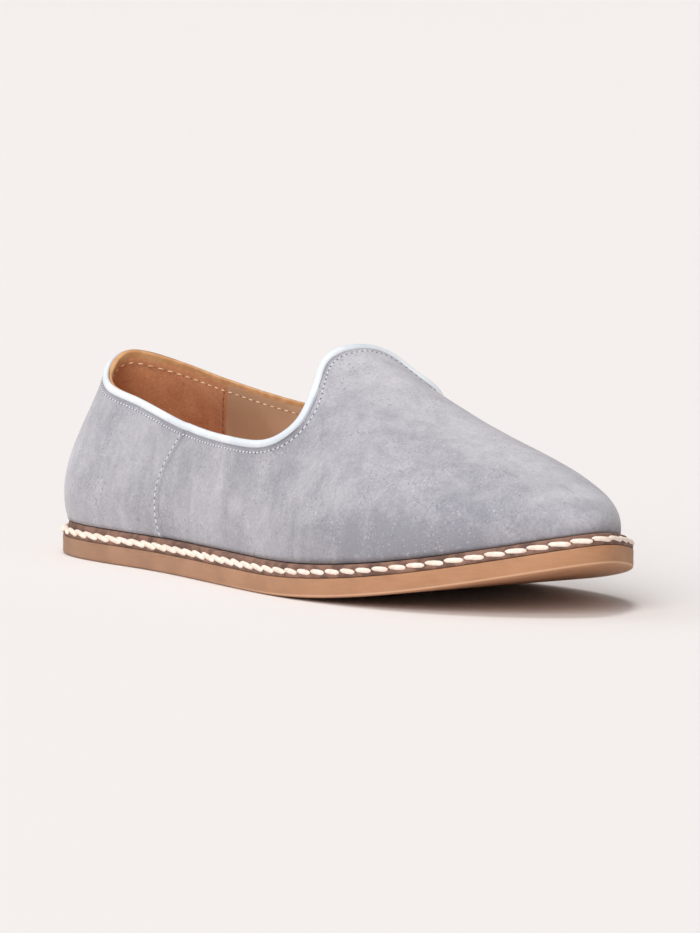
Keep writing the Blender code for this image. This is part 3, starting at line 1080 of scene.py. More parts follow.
@dataclass(frozen=True)
class CutRubber(Finish):
    """Rubber sheet with a ground edge: faint level streaks and a pale lower edge, partly wear and partly a
    painted highlight.
    """
    wear_highlight: Screen = (226, 184, 150)
    heel: Screen = (167, 127, 100)
    toe: Screen = (187, 136, 99)
    streak_size: float = 0.8 * MM
    streak_stretch: Triple = (0.12, 0.12, 1.0)
    streak_share: float = 0.25
    streak_detail: float = 3.0
    cloud_detail: float = 4.0
    tone_range: Span = (0.3, 0.7)

    def colour(self, sheet: NodeSheet, place: Socket) -> Socket:
        """Streak the side.

        Args:
            sheet: where nodes are added.
            place: coordinates on the piece.

        Returns:
            The colour.
        """
        level = sheet.stretched(place, self.streak_stretch, 0.0)
        streaks = sheet.noise(level, self.streak_size, self.streak_detail)
        clouds = sheet.noise(place, self.cloud, self.cloud_detail)
        clouds = sheet.math("MULTIPLY", clouds, 1 - self.streak_share)
        total = sheet.math("MULTIPLY_ADD", streaks, self.streak_share, clouds)
        side = sheet.mix(sheet.remap(total, *self.tone_range), self.dark, self.light)
        ahead = sheet.add("ShaderNodeSeparateXYZ", {0: place}).outputs[0]
        half = LAST.length / 2
        tint = sheet.mix(sheet.remap(ahead, -half, half), self.heel, self.toe)
        # Pale lower edge: partly wear, partly a painted highlight
        edge_wear_and_highlight = sheet.add("ShaderNodeAttribute", attribute_name=EDGE_WEAR_AND_HIGHLIGHT).outputs["Fac"]
        return sheet.mix(edge_wear_and_highlight, sheet.mix(1.0, side, tint, "MULTIPLY"), self.wear_highlight)


@dataclass(frozen=True)
class Palette:
    """Finishes of the shoe's pieces, and of the floor."""
    suede: Finish = Suede(
        "suede", (200, 197, 203), (141, 140, 148), 0.95, 17 * MM, 0.35 * MM, 0.12 * MM, 0.25)
    piping: Finish = Finish(
        "piping_leather", (228, 233, 237), (213, 219, 226), 0.42, 14 * MM, 0.5 * MM, 0.03 * MM)
    grip: Finish = Suede(
        "heel_grip", (228, 166, 121), (184, 112, 72), 0.9, 8 * MM, 0.4 * MM, 0.12 * MM, 0.10,
        speck=(250, 210, 170), pit=(168, 108, 72))
    lining: Finish = Finish(
        "smooth_lining", (212, 174, 141), (201, 163, 130), 0.6, 16 * MM, 0.6 * MM, 0.04 * MM)
    cut_edge: Finish = Finish("cut_edge", (214, 164, 116), (196, 142, 94), 0.75, 4 * MM, 0.4 * MM, 0.08 * MM)
    footbed: Finish = Finish(
        "footbed_leather", (206, 152, 116), (184, 130, 96), 0.6, 22 * MM, 0.7 * MM, 0.05 * MM)
    welt: Finish = Finish("welt_leather", (142, 106, 90), (98, 70, 58), 0.7, 5 * MM, 0.5 * MM, 0.10 * MM)
    rubber: Finish = CutRubber(
        "gum_rubber", (255, 255, 255), (232, 230, 228), 0.62, 12 * MM, 0.6 * MM, 0.05 * MM)
    cord: Finish = Finish("welt_thread", (248, 236, 224), (238, 215, 199), 0.75, 2 * MM, 0.3 * MM, 0.08 * MM)
    thread: Finish = Finish(
        "fine_thread", (220, 220, 226), (198, 198, 206), 0.6, 2 * MM, 0.2 * MM, 0.03 * MM)
    tan_thread: Finish = Finish(
        "lining_thread", (255, 226, 190), (240, 200, 160), 0.6, 2 * MM, 0.2 * MM, 0.03 * MM)
    # Needle holes are dark ovals whose colour is painted shade inside each hole; the tan one also colours
    # the heel grip's thread
    hole: Finish = Finish("needle_hole", (112, 112, 126), (92, 92, 106), 0.9, 2 * MM, 0.3 * MM, 0.02 * MM)
    tan_hole: Finish = Finish("lining_hole", (150, 96, 64), (128, 80, 54), 0.9, 2 * MM, 0.3 * MM, 0.02 * MM)
    floor: Finish = Finish("pale_floor", (236, 231, 229), (235, 230, 228), 0.85, 1.0, 0.02, 0.0)


PALETTE = Palette()


def make_piece(
    name: str, points: np.ndarray, faces: Sequence[Sequence[int]], finishes: Sequence[Finish]
) -> Piece:
    """Make a smooth mesh object in the scene.

    Args:
        name: the piece's name.
        points: its points, measured from the heel back.
        faces: its faces, turned outwards.
        finishes: its materials.

    Returns:
        The object.
    """
    mesh = bpy.data.meshes.new(name)
    mesh.from_pydata((points + LAST.middle).tolist(), [], [list(map(int, face)) for face in faces])
    mesh.shade_smooth()
    for finish in finishes:
        mesh.materials.append(finish.material())
    piece = bpy.data.objects.new(name, mesh)
    bpy.context.scene.collection.objects.link(piece)
    return piece


def set_values(piece: Piece, name: str, values: np.ndarray) -> None:
    """Give each point of a piece a value that its finish reads by this name."""
    attribute = piece.data.attributes.new(name, "FLOAT", "POINT")
    attribute.data.foreach_set("value", values)


def walled(
    points: np.ndarray, faces: np.ndarray, normals: np.ndarray, thickness: np.ndarray
) -> tuple[np.ndarray, list[list[int]]]:
    """Give an open surface a wall on its inner side.

    Args:
        points: points of the surface.
        faces: its faces, four corners a row.
        normals: a way outward at each point.
        thickness: the wall's thickness at each point.

    Returns:
        Points of the wall, outer side first, and its faces: outer side, inner side, edges.
    """
    count = len(points)
    sides = np.concatenate([faces[:, [corner, (corner + 1) % 4]] for corner in range(4)]).tolist()
    taken = set(map(tuple, sides))
    edges = [[b, a, a + count, b + count] for a, b in sides if (b, a) not in taken]
    inner = points - normals * thickness[:, None]
    return np.concatenate([points, inner]), faces.tolist() + (faces[:, ::-1] + count).tolist() + edges


def settle(piece: Piece, stands_for: str | None = None) -> None:
    """Hand a finished piece to the frame.

    Args:
        piece: the piece.
        stands_for: the CAD node that it replaces.
    """
    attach(piece, BODY)
    if stands_for is not None:
        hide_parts(stands_for)
    LOG.info("%s: %d faces", piece.name, len(piece.data.polygons))


def stacked(rings: Sequence[np.ndarray]) -> tuple[np.ndarray, list[list[int]]]:
    """Join stacked rings into a slab.

    Args:
        rings: loops of as many points each, from the underside to the top.

    Returns:
        The points, and the faces: bands between the rings, and strips across the first and the last.
    """
    count = len(rings[0])
    index = np.arange(len(rings) * count).reshape(-1, count)
    faces = quads(closed_rows(index)).tolist()
    for ring, turn in ((index[0], 1), (index[-1], -1)):
        for i in range(count // 2):
            corners = dict.fromkeys(ring[[i, i + 1, -i - 1, -i]].tolist())
            faces.append(list(corners)[::turn])
    return np.concatenate(rings), faces


@dataclass(frozen=True)
class Bottom:
    """Outsole, welt and footbed."""
    last: Last
    steps: int = 330
    insole_thick: float = 2.4 * MM
    insole_round: float = 0.7 * MM
    # Row, strength and stations of the pale lower edge: partly wear, partly a painted highlight that fades
    # out towards the heel
    wear_highlight_row: int = 3
    wear_highlight_edge: float = 0.75
    wear_highlight_from: Span = (0.35, 0.70)

    def slab(self, rows: Sequence[Edge], bottom: float) -> tuple[np.ndarray, list[list[int]]]:
        """Stack the rings of a sole piece.

        Args:
            rows: its rim from the underside to the top.
            bottom: height of its underside.

        Returns:
            Its points and faces.
        """
        lip = self.last.rim("lip")
        rings = []
        for row in rows:
            rings.append(self.last.ring(
                even(row.inset),
                lambda share, own=row: bottom + own.height + own.lip * lip(share),
                self.steps,
            ))
        return stacked(rings)

    def outsole(self) -> None:
        """Make the rubber sole with its softened edges and toe spring."""
        points, faces = self.slab(OUTSOLE_RIM, 0.0)
        piece = make_piece("gum_outsole", points, faces, [PALETTE.rubber])
        # One rim row gets the pale edge of wear and painted highlight, fading out towards the heel
        edge_wear_and_highlight = np.zeros((len(OUTSOLE_RIM), len(points) // len(OUTSOLE_RIM)))
        edge_wear_and_highlight[self.wear_highlight_row] = self.wear_highlight_edge
        ahead = blend(*self.wear_highlight_from, points[:, 0] / self.last.length)
        set_values(piece, EDGE_WEAR_AND_HIGHLIGHT, edge_wear_and_highlight.ravel() * ahead)
        settle(piece, "outsole")

    def welt(self) -> None:
        """Make the leather welt: a low edge, a furrow for the thread and a lip behind it."""
        points, faces = self.slab(WELT_RIM, self.last.outsole_thick + self.last.gap)
        settle(make_piece("welt_rim", points, faces, [PALETTE.welt]), "welt")

    def footbed(self) -> None:
        """Make the insole, its upper edge rounded."""
        last = self.last
        side = self.insole_thick - self.insole_round
        rings = []
        for inset, rise in ((0.0, 0.0), (0.0, side), (self.insole_round, self.insole_thick)):
            rings.append(last.ring(
                lambda share, own=inset: last.rim("inset")(share) + last.wall + last.gap + own,
                lambda share, own=rise: last.welt_top(share) + last.gap + own,
                self.steps,
            ))
        settle(make_piece("footbed", *stacked(rings), [PALETTE.footbed]), "insole")

    def thread_line(self, inset: float, height: float, tilt: float) -> Loop:
        """Find the line of the welt's thread.

        Args:
            inset: how far inside the sole's outline it lies.
            height: how far above the underside.
            tilt: how far its upper side leans outwards, as a slope.

        Returns:
            The line, with the way outward from the welt.
        """
        points = self.last.ring(even(inset), even(height), self.steps)
        beside = self.last.ring(even(inset - MM), even(height), self.steps)
        outward = unit((beside - points) * np.array([1.0, 1.0, 0.0]))
        upright = np.array([0.0, 0.0, 1.0])
        return Loop(points, unit(tilt * outward + upright), np.broadcast_to(upright, points.shape))


@dataclass(frozen=True)
class Upper:
    """Suede upper with its piping and lining."""
    last: Last
    suede_thick: float = 0.9 * MM
    suede_grid: tuple[int, int] = (360, 44)
    lap: float = 0.5 * MM
    lining_grid: tuple[int, int] = (210, 22)
    lining_sink: float = 1.0 * MM
    lining_thick: float = 0.75 * MM
    grip_rise: float = 0.25 * MM
    rim_below: Span = (0.50 * MM, -0.30 * MM)
    rim_cross: Span = (-8.0 * MM, 4.0 * MM)
    rim_lean: float = 0.45 * MM
    rim_rows: int = 8
    least_upright: float = 0.6
    tongue_rise: float = 1.0 * MM
    tongue_end: Span = (9.5, 12.5)
    pale_from: Span = (0.60, 0.35)
    pale_back: Span = (16.2, 17.2)
    fold_thick: float = 0.7 * MM
    fold_reach: float = 1.5 * MM
    # Painted light on the heel grip, lighter towards the rim, and how far down it reaches
    rim_painted_light: float = 1.0
    rim_painted_light_reach: float = 7.0 * MM
    bead_sink: float = 0.55 * MM
    bead_rise: float = 1.10 * MM
    bead_half_height: float = 1.30 * MM
    bead_half_width: float = 0.95 * MM
    bead_sides: int = 16
    bead_passes: int = 4
    proud: float = 0.55 * MM
    proud_from: Span = (5.4, 6.2)
    proud_to: Span = (9.4, 8.4)
    # Painted shade under the piping and in the lap ahead of the side seams, and painted light along the
    # crest
    rim_shade: float = -1.1
    rim_shade_reach: float = 1.1 * MM
    seam_shade: float = -0.55
    seam_shade_reach: float = 0.10
    crest_light: float = 1.0
    crest_reach: float = 13.5 * MM
    crest_from: Span = (0.0, 1.0)
    crest_to: Span = (6.5, 5.0)

    @cached_property
    def shell(self) -> Shell:
        """Fine surface that the suede is laid on."""
        fixed = (TONGUE_TIP, SEAM - STEP_WIDTH, SEAM + STEP_WIDTH)
        return Shell(self.last, *self.suede_grid, self.lap, fixed)

    @cached_property
    def lining_shell(self) -> Shell:
        """Coarser surface for the lining, with no lap."""
        fixed = (TONGUE_TIP, GRIP_SEAM - STEP_WIDTH, GRIP_SEAM + STEP_WIDTH)
        return Shell(self.last, *self.lining_grid, 0.0, fixed)

    def suede(self) -> None:
        """Make the suede wall with its side seams, creases, brushed patches and painted light and shade."""
        shell = self.shell
        thickness = np.full(len(shell.points), self.suede_thick)
        points, faces = walled(shell.points, shell.faces, shell.steady, thickness)
        piece = make_piece("suede_upper", points, faces, [PALETTE.suede])
        # Brushed patches with painted light and shade, plus the painted shade of the edges and painted light
        # of the crest
        set_values(piece, BRUSHED_AND_PAINTED_LIGHT, np.tile(spots(BRUSHING_AND_PAINTED_LIGHT, self.last, shell.points) + self.painted_shade_and_light(), 2))
        settle(piece, "upper")

    def painted_shade_and_light(self) -> np.ndarray:
        """Paint shade on the suede under the piping and ahead of the side seams, and paint light along the
        crest.

        Returns:
            A strength for each point, below 0 where shade is painted.
        """
        shell = self.shell
        shade = self.rim_shade * np.exp(-(shell.below / self.rim_shade_reach) ** 2)
        shade = shade * (shell.places >= TONGUE_TIP)
        ahead = (SEAM - shell.places) / self.seam_shade_reach
        shade = shade + np.where(ahead > 0, self.seam_shade * np.exp(-ahead ** 2), 0.0)
        crest = blend(*self.crest_from, shell.places) * blend(*self.crest_to, shell.places)
        return shade + self.crest_light * crest * np.exp(-(shell.below / self.crest_reach) ** 2)

    def piping(self) -> None:
        """Make the bead along the topline."""
        loop = self.shell.topline(self.bead_sink)
        turns = np.linspace(0, 2 * np.pi, self.bead_sides, endpoint=False)
        places = self.shell.places[self.shell.rim]
        beside = blend(*self.proud_from, places) * blend(*self.proud_to, places) * (loop.points[:, 1] > 0)
        centres = loop.points + self.bead_rise * loop.upward + self.proud * beside[:, None] * loop.outward
        centres = softened(centres, self.bead_passes)
        across = self.bead_half_width * np.sin(turns)[None, :, None] * loop.outward[:, None, :]
        up = self.bead_half_height * np.cos(turns)[None, :, None] * loop.upward[:, None, :]
        points = (centres[:, None, :] + across + up).reshape(-1, 3)
        index = np.arange(len(points)).reshape(-1, self.bead_sides)
        faces = quads(closed_rows(closed_rows(index).T))
        settle(make_piece("topline_piping", points, faces, [PALETTE.piping]), "piping")

    def lining_depth(self, places: np.ndarray) -> np.ndarray:
        """Depth of the lining's outer face, the heel grip standing proud inside."""
        return self.lining_sink + np.where(places > GRIP_SEAM, self.grip_rise, 0.0)

    def wall_thick(self, below: np.ndarray, places: np.ndarray) -> np.ndarray:
        """Thickness of the lining, which is folded double round the heel's rim.

        Args:
            below: how far below the topline each point lies.
            places: each point's place in the spoke table.

        Returns:
            A thickness for each point.
        """
        fold = np.exp(-(below / self.fold_reach) ** 2) * blend(*self.pale_back, places)
        return self.lining_thick + self.fold_thick * fold

    def rim_rises(self, edge: Loop, places: np.ndarray) -> np.ndarray:
        """Work out how far the lining's edge stands above the topline.

        Args:
            edge: the topline of the lining's surface.
            places: the edge's places in the spoke table.

        Returns:
            A height for each place: level with the piping round the collar, and low behind the tongue.
        """
        up, out = edge.upward[:, 2], edge.outward[:, 2]
        bead = np.hypot(self.bead_half_height * up, self.bead_half_width * out)
        level = bead + (self.lining_depth(places) - self.bead_sink) * out
        level -= self.rim_below[0] + np.diff(self.rim_below)[0] * blend(*self.rim_cross, edge.points[:, 1])
        rises = self.bead_rise + level / np.maximum(up, self.least_upright)
        return self.tongue_rise + (rises - self.tongue_rise) * blend(*self.tongue_end, places)

    def lining(self) -> None:
        """Make the lining: smooth in front, napped at the heel with painted light towards its rim, with a
        pale cut edge behind the piping.
        """
        shell = self.lining_shell
        edge = shell.topline(0.0)
        rim_places = shell.places[shell.rim]
        points = shell.points - shell.steady * self.lining_depth(shell.places)[:, None]
        rises = self.rim_rises(edge, rim_places)[:, None] * edge.upward
        shares = np.linspace(0, 1, self.rim_rows + 1)[1:]
        leans = self.rim_lean * edge.outward
        rows = [points] + [points[shell.rim] + share * rises + share ** 2 * leans for share in shares]
        count = self.rim_rows * len(shell.rim)
        rim = np.arange(count).reshape(self.rim_rows, -1) + len(points)
        grid = np.concatenate([shell.faces, quads(closed_rows(np.vstack([shell.rim, rim])))])
        normals = np.concatenate([shell.steady, np.tile(shell.steady[shell.rim], (self.rim_rows, 1))])
        below = np.concatenate([shell.below, np.zeros(count)])
        places = np.concatenate([shell.places, np.tile(rim_places, self.rim_rows)])
        points, walls = walled(np.concatenate(rows), grid, normals, self.wall_thick(below, places))
        finishes = [PALETTE.lining, PALETTE.grip, PALETTE.cut_edge]
        piece = make_piece("lining", points, walls, finishes)
        numbers = (places[grid].mean(axis=1) > GRIP_SEAM).astype(int)
        cut = finishes.index(PALETTE.cut_edge)
        pale_from = self.pale_from[0] + np.diff(self.pale_from)[0] * blend(*self.pale_back, rim_places)
        pale = (shares[:, None] > pale_from).ravel()
        numbers[len(shell.faces):][pale] = cut
        edges = np.full(len(walls) - 2 * len(grid), cut)
        piece.data.polygons.foreach_set("material_index", np.concatenate([numbers, numbers, edges]))
        # Painted light, read only by the heel grip's finish, fading down from the rim
        set_values(piece, BRUSHED_AND_PAINTED_LIGHT, np.tile(self.rim_painted_light * np.exp(-(below / self.rim_painted_light_reach) ** 2), 2))
        settle(piece)


class StitchTree:
    """Geometry Nodes tree that sets stitches and needle holes along a line."""

    SIZES = tuple(size.title() for size in Stitch._fields)
    SEED = 7
    WANDER = 0.03
    SEGMENTS = 8
    RINGS = 6

    def __init__(self) -> None:
        """Build the tree."""
        self.tree = bpy.data.node_groups.new("stitch_row", "GeometryNodeTree")
        self.inputs: dict[str, str] = {}
        self.socket("Line", "NodeSocketGeometry")
        self.socket("Count", "NodeSocketInt")
        for name in self.SIZES:
            self.socket(name, "NodeSocketFloat")
        self.socket("Thread", "NodeSocketMaterial")
        self.socket("Needle hole", "NodeSocketMaterial")
        self.tree.interface.new_socket("Stitches", in_out="OUTPUT", socket_type="NodeSocketGeometry")
        self.join()

    def socket(self, name: str, kind: str) -> None:
        """Add an input and keep its identifier."""
        socket = self.tree.interface.new_socket(name, in_out="INPUT", socket_type=kind)
        self.inputs[name] = socket.identifier

    def join(self) -> None:
        """Add the nodes."""
        sheet = NodeSheet(self.tree)
        given = sheet.add("NodeGroupInput").outputs
        curve = sheet.add("GeometryNodeMeshToCurve", {"Mesh": given["Line"]}).outputs["Curve"]
        spaced = {"Curve": curve, "Count": given["Count"]}
        dots = sheet.add("GeometryNodeCurveToPoints", spaced, mode="COUNT").outputs
        align = "FunctionNodeAlignRotationToVector"
        ahead = sheet.add(align, {"Vector": dots["Tangent"]}, axis="X").outputs[0]
        raised = {"Rotation": ahead, "Vector": self.carried(sheet, OUTWARD, "FLOAT_VECTOR")}
        upright = sheet.add(align, raised, axis="Z", pivot_axis="X").outputs[0]
        ends = {2: -self.WANDER, 3: self.WANDER, "Seed": self.SEED}
        wander = sheet.add("FunctionNodeRandomValue", ends, data_type="FLOAT").outputs[1]
        slanted = {"Axis": (0.0, 0.0, 1.0), "Angle": sheet.math("ADD", given["Slant"], wander)}
        turns = {0: upright, 1: sheet.add("FunctionNodeAxisAngleToRotation", slanted).outputs[0]}
        turned = sheet.add("FunctionNodeRotateRotation", turns, rotation_space="LOCAL").outputs[0]
        thread = self.oval(sheet, given["Length"], given["Width"], given["Height"], given["Taper"], 0.0)
        hole_height, half_pitch = (sheet.math("MULTIPLY", given[size], 0.5) for size in ("Hole", "Pitch"))
        hole = self.oval(sheet, given["Hole"], given["Hole"], hole_height, 1.0, half_pitch)
        longer = {0: self.carried(sheet, STRETCH, "FLOAT"), 1: 1.0, 2: 1.0}
        longer = sheet.add("ShaderNodeCombineXYZ", longer).outputs[0]
        made = []
        for shape, turn, scale, finish in (
            (thread, turned, longer, "Thread"), (hole, upright, (1.0, 1.0, 1.0), "Needle hole")
        ):
            row = {"Points": dots["Points"], "Instance": shape, "Rotation": turn, "Scale": scale}
            placed = sheet.add("GeometryNodeInstanceOnPoints", row).outputs["Instances"]
            real = sheet.add("GeometryNodeRealizeInstances", {"Geometry": placed}).outputs["Geometry"]
            smooth = sheet.add("GeometryNodeSetShadeSmooth", {"Geometry": real}).outputs["Geometry"]
            dressed = {"Geometry": smooth, "Material": given[finish]}
            made.append(sheet.add("GeometryNodeSetMaterial", dressed).outputs["Geometry"])
        both = sheet.add("GeometryNodeJoinGeometry")
        for geometry in reversed(made):
            self.tree.links.new(geometry, both.inputs[0])
        sheet.add("NodeGroupOutput", {0: both.outputs[0]})

    def carried(self, sheet: NodeSheet, name: str, kind: str) -> Socket:
        """Value that the points of the line carry by this name."""
        return sheet.add("GeometryNodeInputNamedAttribute", {"Name": name}, data_type=kind).outputs[0]

    def oval(
        self, sheet: NodeSheet, length: object, width: object, height: object, taper: object, ahead: object
    ) -> Socket:
        """Make one rounded stitch that points along X.

        Args:
            sheet: where nodes are added.
            length: its length.
            width: its width.
            height: its thickness.
            taper: 1 for an oval, and less for blunter ends.
            ahead: how far along X it lies.

        Returns:
            Its mesh.
        """
        round_form = {"Segments": self.SEGMENTS, "Rings": self.RINGS, "Radius": 1.0}
        ball = sheet.add("GeometryNodeMeshUVSphere", round_form).outputs["Mesh"]
        turned = {"Geometry": ball, "Rotation": (0.0, np.pi / 2, 0.0)}
        lying = sheet.add("GeometryNodeTransform", turned).outputs["Geometry"]
        place = sheet.add("GeometryNodeInputPosition").outputs[0]
        place = sheet.add("ShaderNodeSeparateXYZ", {0: place}).outputs
        reach = sheet.math("POWER", sheet.math("ABSOLUTE", place[0]), taper)
        reach = sheet.math("MULTIPLY", reach, sheet.math("SIGN", place[0]))
        blunt = sheet.add("ShaderNodeCombineXYZ", {0: reach, 1: place[1], 2: place[2]}).outputs[0]
        shaped = sheet.add("GeometryNodeSetPosition", {"Geometry": lying, "Position": blunt}).outputs[0]
        halves = [sheet.math("MULTIPLY", size, 0.5) for size in (length, width, height)]
        scale = sheet.add("ShaderNodeCombineXYZ", dict(enumerate(halves))).outputs[0]
        shift = sheet.add("ShaderNodeCombineXYZ", {0: ahead}).outputs[0]
        sized = {"Geometry": shaped, "Scale": scale, "Translation": shift}
        return sheet.add("GeometryNodeTransform", sized).outputs[0]


@dataclass(frozen=True)
class StitchRow:
    """Row of stitches of one kind."""
    name: str
    stitch: Stitch
    thread: Finish
    needle_hole: Finish
    overlap: float = 0.0
    overlap_ends: Span = (0.0, 1.0)

    def sew(self, tree: StitchTree, lines: Sequence[Loop], closed: bool) -> None:
        """Lay the row along lines and hand it to the frame.

        Args:
            tree: the nodes that place the stitches.
            lines: where it runs.
            closed: whether each line joins its start again.
        """
        rows = [self.mesh(tree, line, closed) for line in lines]
        piece = bpy.data.objects.new(self.name, rows[0])
        bpy.context.scene.collection.objects.link(piece)
        if len(rows) > 1:
            self.join(piece, rows[1:])
        settle(piece)

    def join(self, piece: Piece, rest: Sequence[bpy.types.Mesh]) -> None:
        """Add further rows to a piece.

        Args:
            piece: the piece with the first row.
            rest: the other rows' meshes.
        """
        others = []
        for mesh in rest:
            other = bpy.data.objects.new(self.name, mesh)
            bpy.context.scene.collection.objects.link(other)
            others.append(other)
        with bpy.context.temp_override(active_object=piece, selected_editable_objects=[piece, *others]):
            bpy.ops.object.join()

    def mesh(self, tree: StitchTree, line: Loop, closed: bool) -> bpy.types.Mesh:
        """Turn one row of stitches into a plain mesh.

        Args:
            tree: the nodes that place the stitches.
            line: where the row runs.
            closed: whether the line joins its start again.

        Returns:
            The mesh.
        """
        points = line.points + LAST.middle
        count = len(points)
        edges = [(i, (i + 1) % count) for i in range(count if closed else count - 1)]
        path = bpy.data.meshes.new(self.name + "_path")
        path.from_pydata(points.tolist(), edges, [])
        outward = path.attributes.new(OUTWARD, "FLOAT_VECTOR", "POINT")
        outward.data.foreach_set("vector", line.outward.ravel())
        stretch = path.attributes.new(STRETCH, "FLOAT", "POINT")
        stretch.data.foreach_set("value", 1 + self.overlap * blend(*self.overlap_ends, line.points[:, 0]))
        guide = bpy.data.objects.new(self.name + "_path", path)
        bpy.context.scene.collection.objects.link(guide)
        ends = np.concatenate([points, points[:1]]) if closed else points
        run = np.linalg.norm(np.diff(ends, axis=0), axis=1).sum()
        values = {
            "Count": max(2, round(run / self.stitch.pitch)), **dict(zip(tree.SIZES, self.stitch)),
            "Thread": self.thread.material(), "Needle hole": self.needle_hole.material(),
        }
        nodes = guide.modifiers.new("stitches", "NODES")
        nodes.node_group = tree.tree
        for name, value in values.items():
            nodes[tree.inputs[name]] = value
        graph = bpy.context.evaluated_depsgraph_get()
        made = bpy.data.meshes.new_from_object(guide.evaluated_get(graph))
        guide.modifiers.remove(nodes)
        bpy.data.objects.remove(guide)
        return made


@dataclass(frozen=True)
class Sewing:
    """All the rows of stitches."""
    bottom: Bottom
    upper: Upper
    tree: StitchTree
    topline_drop: float = 1.5 * MM
    topline_passes: int = 3
    lining_drop: float = 1.0 * MM
    lining_passes: int = 2
    seam_back: float = 0.055
    seam_span: Span = (0.03, 0.93)
    seam_points: int = 60
    grip_back: float = 0.06
    grip_span: Span = (0.10, 0.96)
    grip_points: int = 50
    welt_inset: float = 0.75 * MM
    welt_height: float = 7.65 * MM
    welt_tilt: float = 0.75
    rope: float = 0.62
    rope_ends: Span = (0.70, 0.44)

    def sew(self) -> None:
        """Sew every row."""
        self.welt()
        self.topline()
        self.side_seams()
        self.collar_lining()
        self.heel_grip()

    def welt(self) -> None:
        """Sew the thick thread round the welt, its stitches overlapping like a rope at waist and heel."""
        line = self.bottom.thread_line(self.welt_inset, self.welt_height, self.welt_tilt)
        ends = (self.rope_ends[0] * LAST.length, self.rope_ends[1] * LAST.length)
        row = StitchRow("welt_stitches", WELT_STITCH, PALETTE.cord, PALETTE.welt, self.rope, ends)
        row.sew(self.tree, [line], True)

    def topline(self) -> None:
        """Sew the fine row below the piping."""
        edge = self.upper.shell.topline(0.0)
        points, _ = self.upper.shell.laid_on(edge.points - self.topline_drop * edge.upward)
        line = Loop(softened(points, self.topline_passes), edge.outward, edge.upward)
        row = StitchRow("topline_stitches", TOPLINE_STITCH, PALETTE.thread, PALETTE.hole)
        row.sew(self.tree, [line], True)

    def side_seams(self) -> None:
        """Sew the row behind the edge of the heel panel on each side."""
        shell = self.upper.shell
        lines = []
        for side in Side:
            points = shell.section(side, SEAM + self.seam_back, *self.seam_span, self.seam_points)
            points, outward = shell.laid_on(points)
            lines.append(Loop(points, outward, outward))
        row = StitchRow("seam_stitches", SEAM_STITCH, PALETTE.thread, PALETTE.hole)
        row.sew(self.tree, lines, False)

    def collar_lining(self) -> None:
        """Sew the row inside the collar."""
        upper, shell = self.upper, self.upper.lining_shell
        places = shell.places[shell.rim]
        below = np.full(len(places), self.lining_drop)
        depth = upper.lining_depth(places) + upper.wall_thick(below, places)
        edge = shell.topline(0.0)
        points, _ = shell.laid_on(edge.points - self.lining_drop * edge.upward)
        points = softened(points - edge.outward * depth[:, None], self.lining_passes)
        row = StitchRow("collar_lining_stitches", LINING_STITCH, PALETTE.tan_thread, PALETTE.tan_hole)
        row.sew(self.tree, [Loop(points, -edge.outward, edge.upward)], True)

    def heel_grip(self) -> None:
        """Sew the seam of the heel grip on each side."""
        upper, shell = self.upper, self.upper.lining_shell
        depth = upper.lining_sink + upper.grip_rise + upper.lining_thick
        lines = []
        for side in Side:
            points = shell.section(side, GRIP_SEAM + self.grip_back, *self.grip_span, self.grip_points)
            points, outward = shell.laid_on(points)
            lines.append(Loop(points - outward * depth, -outward, outward))
        row = StitchRow("grip_stitches", GRIP_STITCH, PALETTE.tan_hole, PALETTE.tan_hole)
        row.sew(self.tree, lines, False)


def bearing(azimuth: float, elevation: float) -> Vector:
    """Direction from the shoe, in degrees from its outer side round to the toe and up."""
    around, above = np.radians(azimuth), np.radians(elevation)
    return Vector((np.sin(around) * np.cos(above), -np.cos(around) * np.cos(above), np.sin(above)))


class Lamp(NamedTuple):
    """Broad distant light: where it stands, how wide it looks in degrees, and how strong it is."""
    name: str
    azimuth: float
    elevation: float
    softness: float
    strength: float


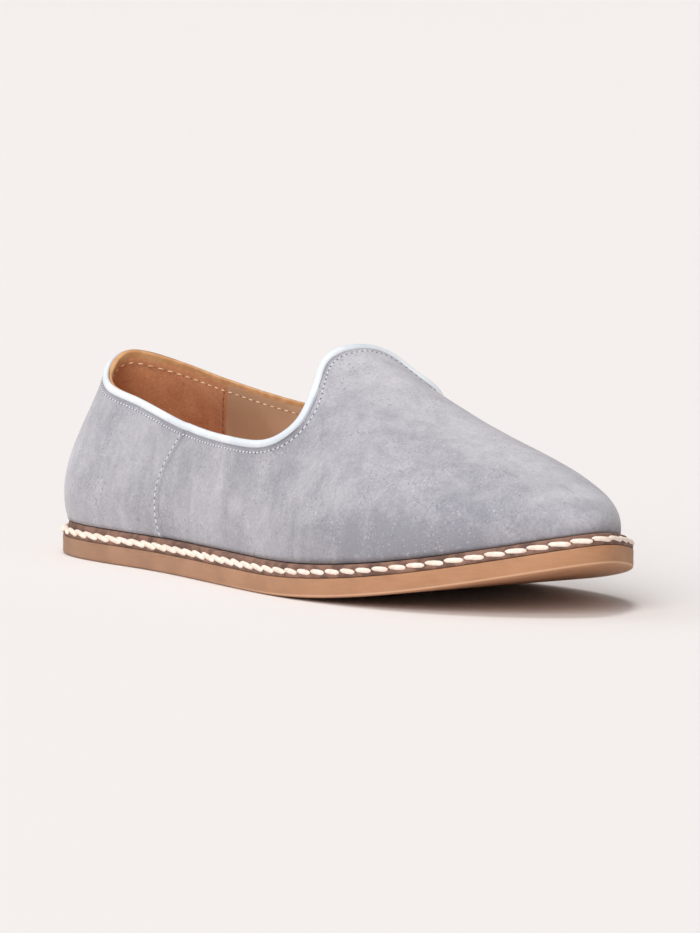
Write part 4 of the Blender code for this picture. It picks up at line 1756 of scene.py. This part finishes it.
@dataclass(frozen=True)
class Studio:
    """Floor, light and camera."""
    last: Last
    azimuth: float = 54.1
    elevation: float = 5.6
    distance: float = 2.7
    aim_station: float = 0.5
    aim_height: float = 30.0 * MM
    aim_right: float = 2.89 * MM
    aim_up: float = 4.51 * MM
    picture_width: float = 700.0
    focal_pixels: float = 8911.0
    sensor: float = 36.0
    floor_size: float = 24.0
    clip_end: float = 60.0
    sky: Triple = (1.0, 0.985, 0.975)
    sky_strength: float = 0.38
    lamps: tuple[Lamp, ...] = (
        Lamp("overhead", 30.0, 84.0, 16.0, 0.98),
        Lamp("front_fill", 34.0, 34.0, 44.0, 1.88),
        Lamp("back_fill", 300.0, 30.0, 60.0, 0.60),
    )

    def floor(self) -> None:
        """Lay the pale floor."""
        half = self.floor_size / 2
        corners = np.array([(-half, -half, 0.0), (half, -half, 0.0), (half, half, 0.0), (-half, half, 0.0)])
        make_piece("floor", corners, [[0, 1, 2, 3]], [PALETTE.floor])

    def light(self) -> None:
        """Hang soft lights over the shoe in a pale room."""
        world = bpy.data.worlds.new("room")
        world.use_nodes = True
        backdrop = world.node_tree.nodes["Background"]
        backdrop.inputs["Color"].default_value = (*self.sky, 1.0)
        backdrop.inputs["Strength"].default_value = self.sky_strength
        bpy.context.scene.world = world
        for lamp in self.lamps:
            light = bpy.data.lights.new(lamp.name, "SUN")
            light.angle = np.radians(lamp.softness)
            light.energy = lamp.strength
            holder = bpy.data.objects.new(lamp.name, light)
            holder.rotation_euler = bearing(lamp.azimuth, lamp.elevation).to_track_quat("Z", "Y").to_euler()
            bpy.context.scene.collection.objects.link(holder)

    def camera(self) -> None:
        """Set the camera at the photograph's angle to the shoe."""
        back = bearing(self.azimuth, self.elevation)
        right = bearing(self.azimuth + 90.0, 0.0)
        up = back.cross(right)
        aim = Vector((self.aim_station * self.last.length, 0.0, self.aim_height)) + Vector(self.last.middle)
        place = aim + self.distance * back + self.aim_right * right + self.aim_up * up
        lens = bpy.data.cameras.new("camera")
        lens.sensor_fit = "HORIZONTAL"
        lens.sensor_width = self.sensor
        lens.lens = self.focal_pixels / self.picture_width * self.sensor
        lens.clip_end = self.clip_end
        camera = bpy.data.objects.new("camera", lens)
        axes = Matrix((right, up, back)).transposed().to_4x4()
        camera.matrix_world = Matrix.Translation(place) @ axes
        bpy.context.scene.collection.objects.link(camera)
        bpy.context.scene.camera = camera

    def set_up(self) -> None:
        """Prepare the studio."""
        self.floor()
        self.light()
        self.camera()
        bpy.context.scene.view_settings.view_transform = "Standard"


def main() -> None:
    """Build the shoe and its studio."""
    logging.basicConfig(level=logging.INFO, format="%(message)s")
    Studio(LAST).set_up()
    bottom = Bottom(LAST)
    bottom.outsole()
    bottom.welt()
    bottom.footbed()
    upper = Upper(LAST)
    upper.suede()
    upper.piping()
    upper.lining()
    Sewing(bottom, upper, StitchTree()).sew()


if __name__ == "__main__":
    main()
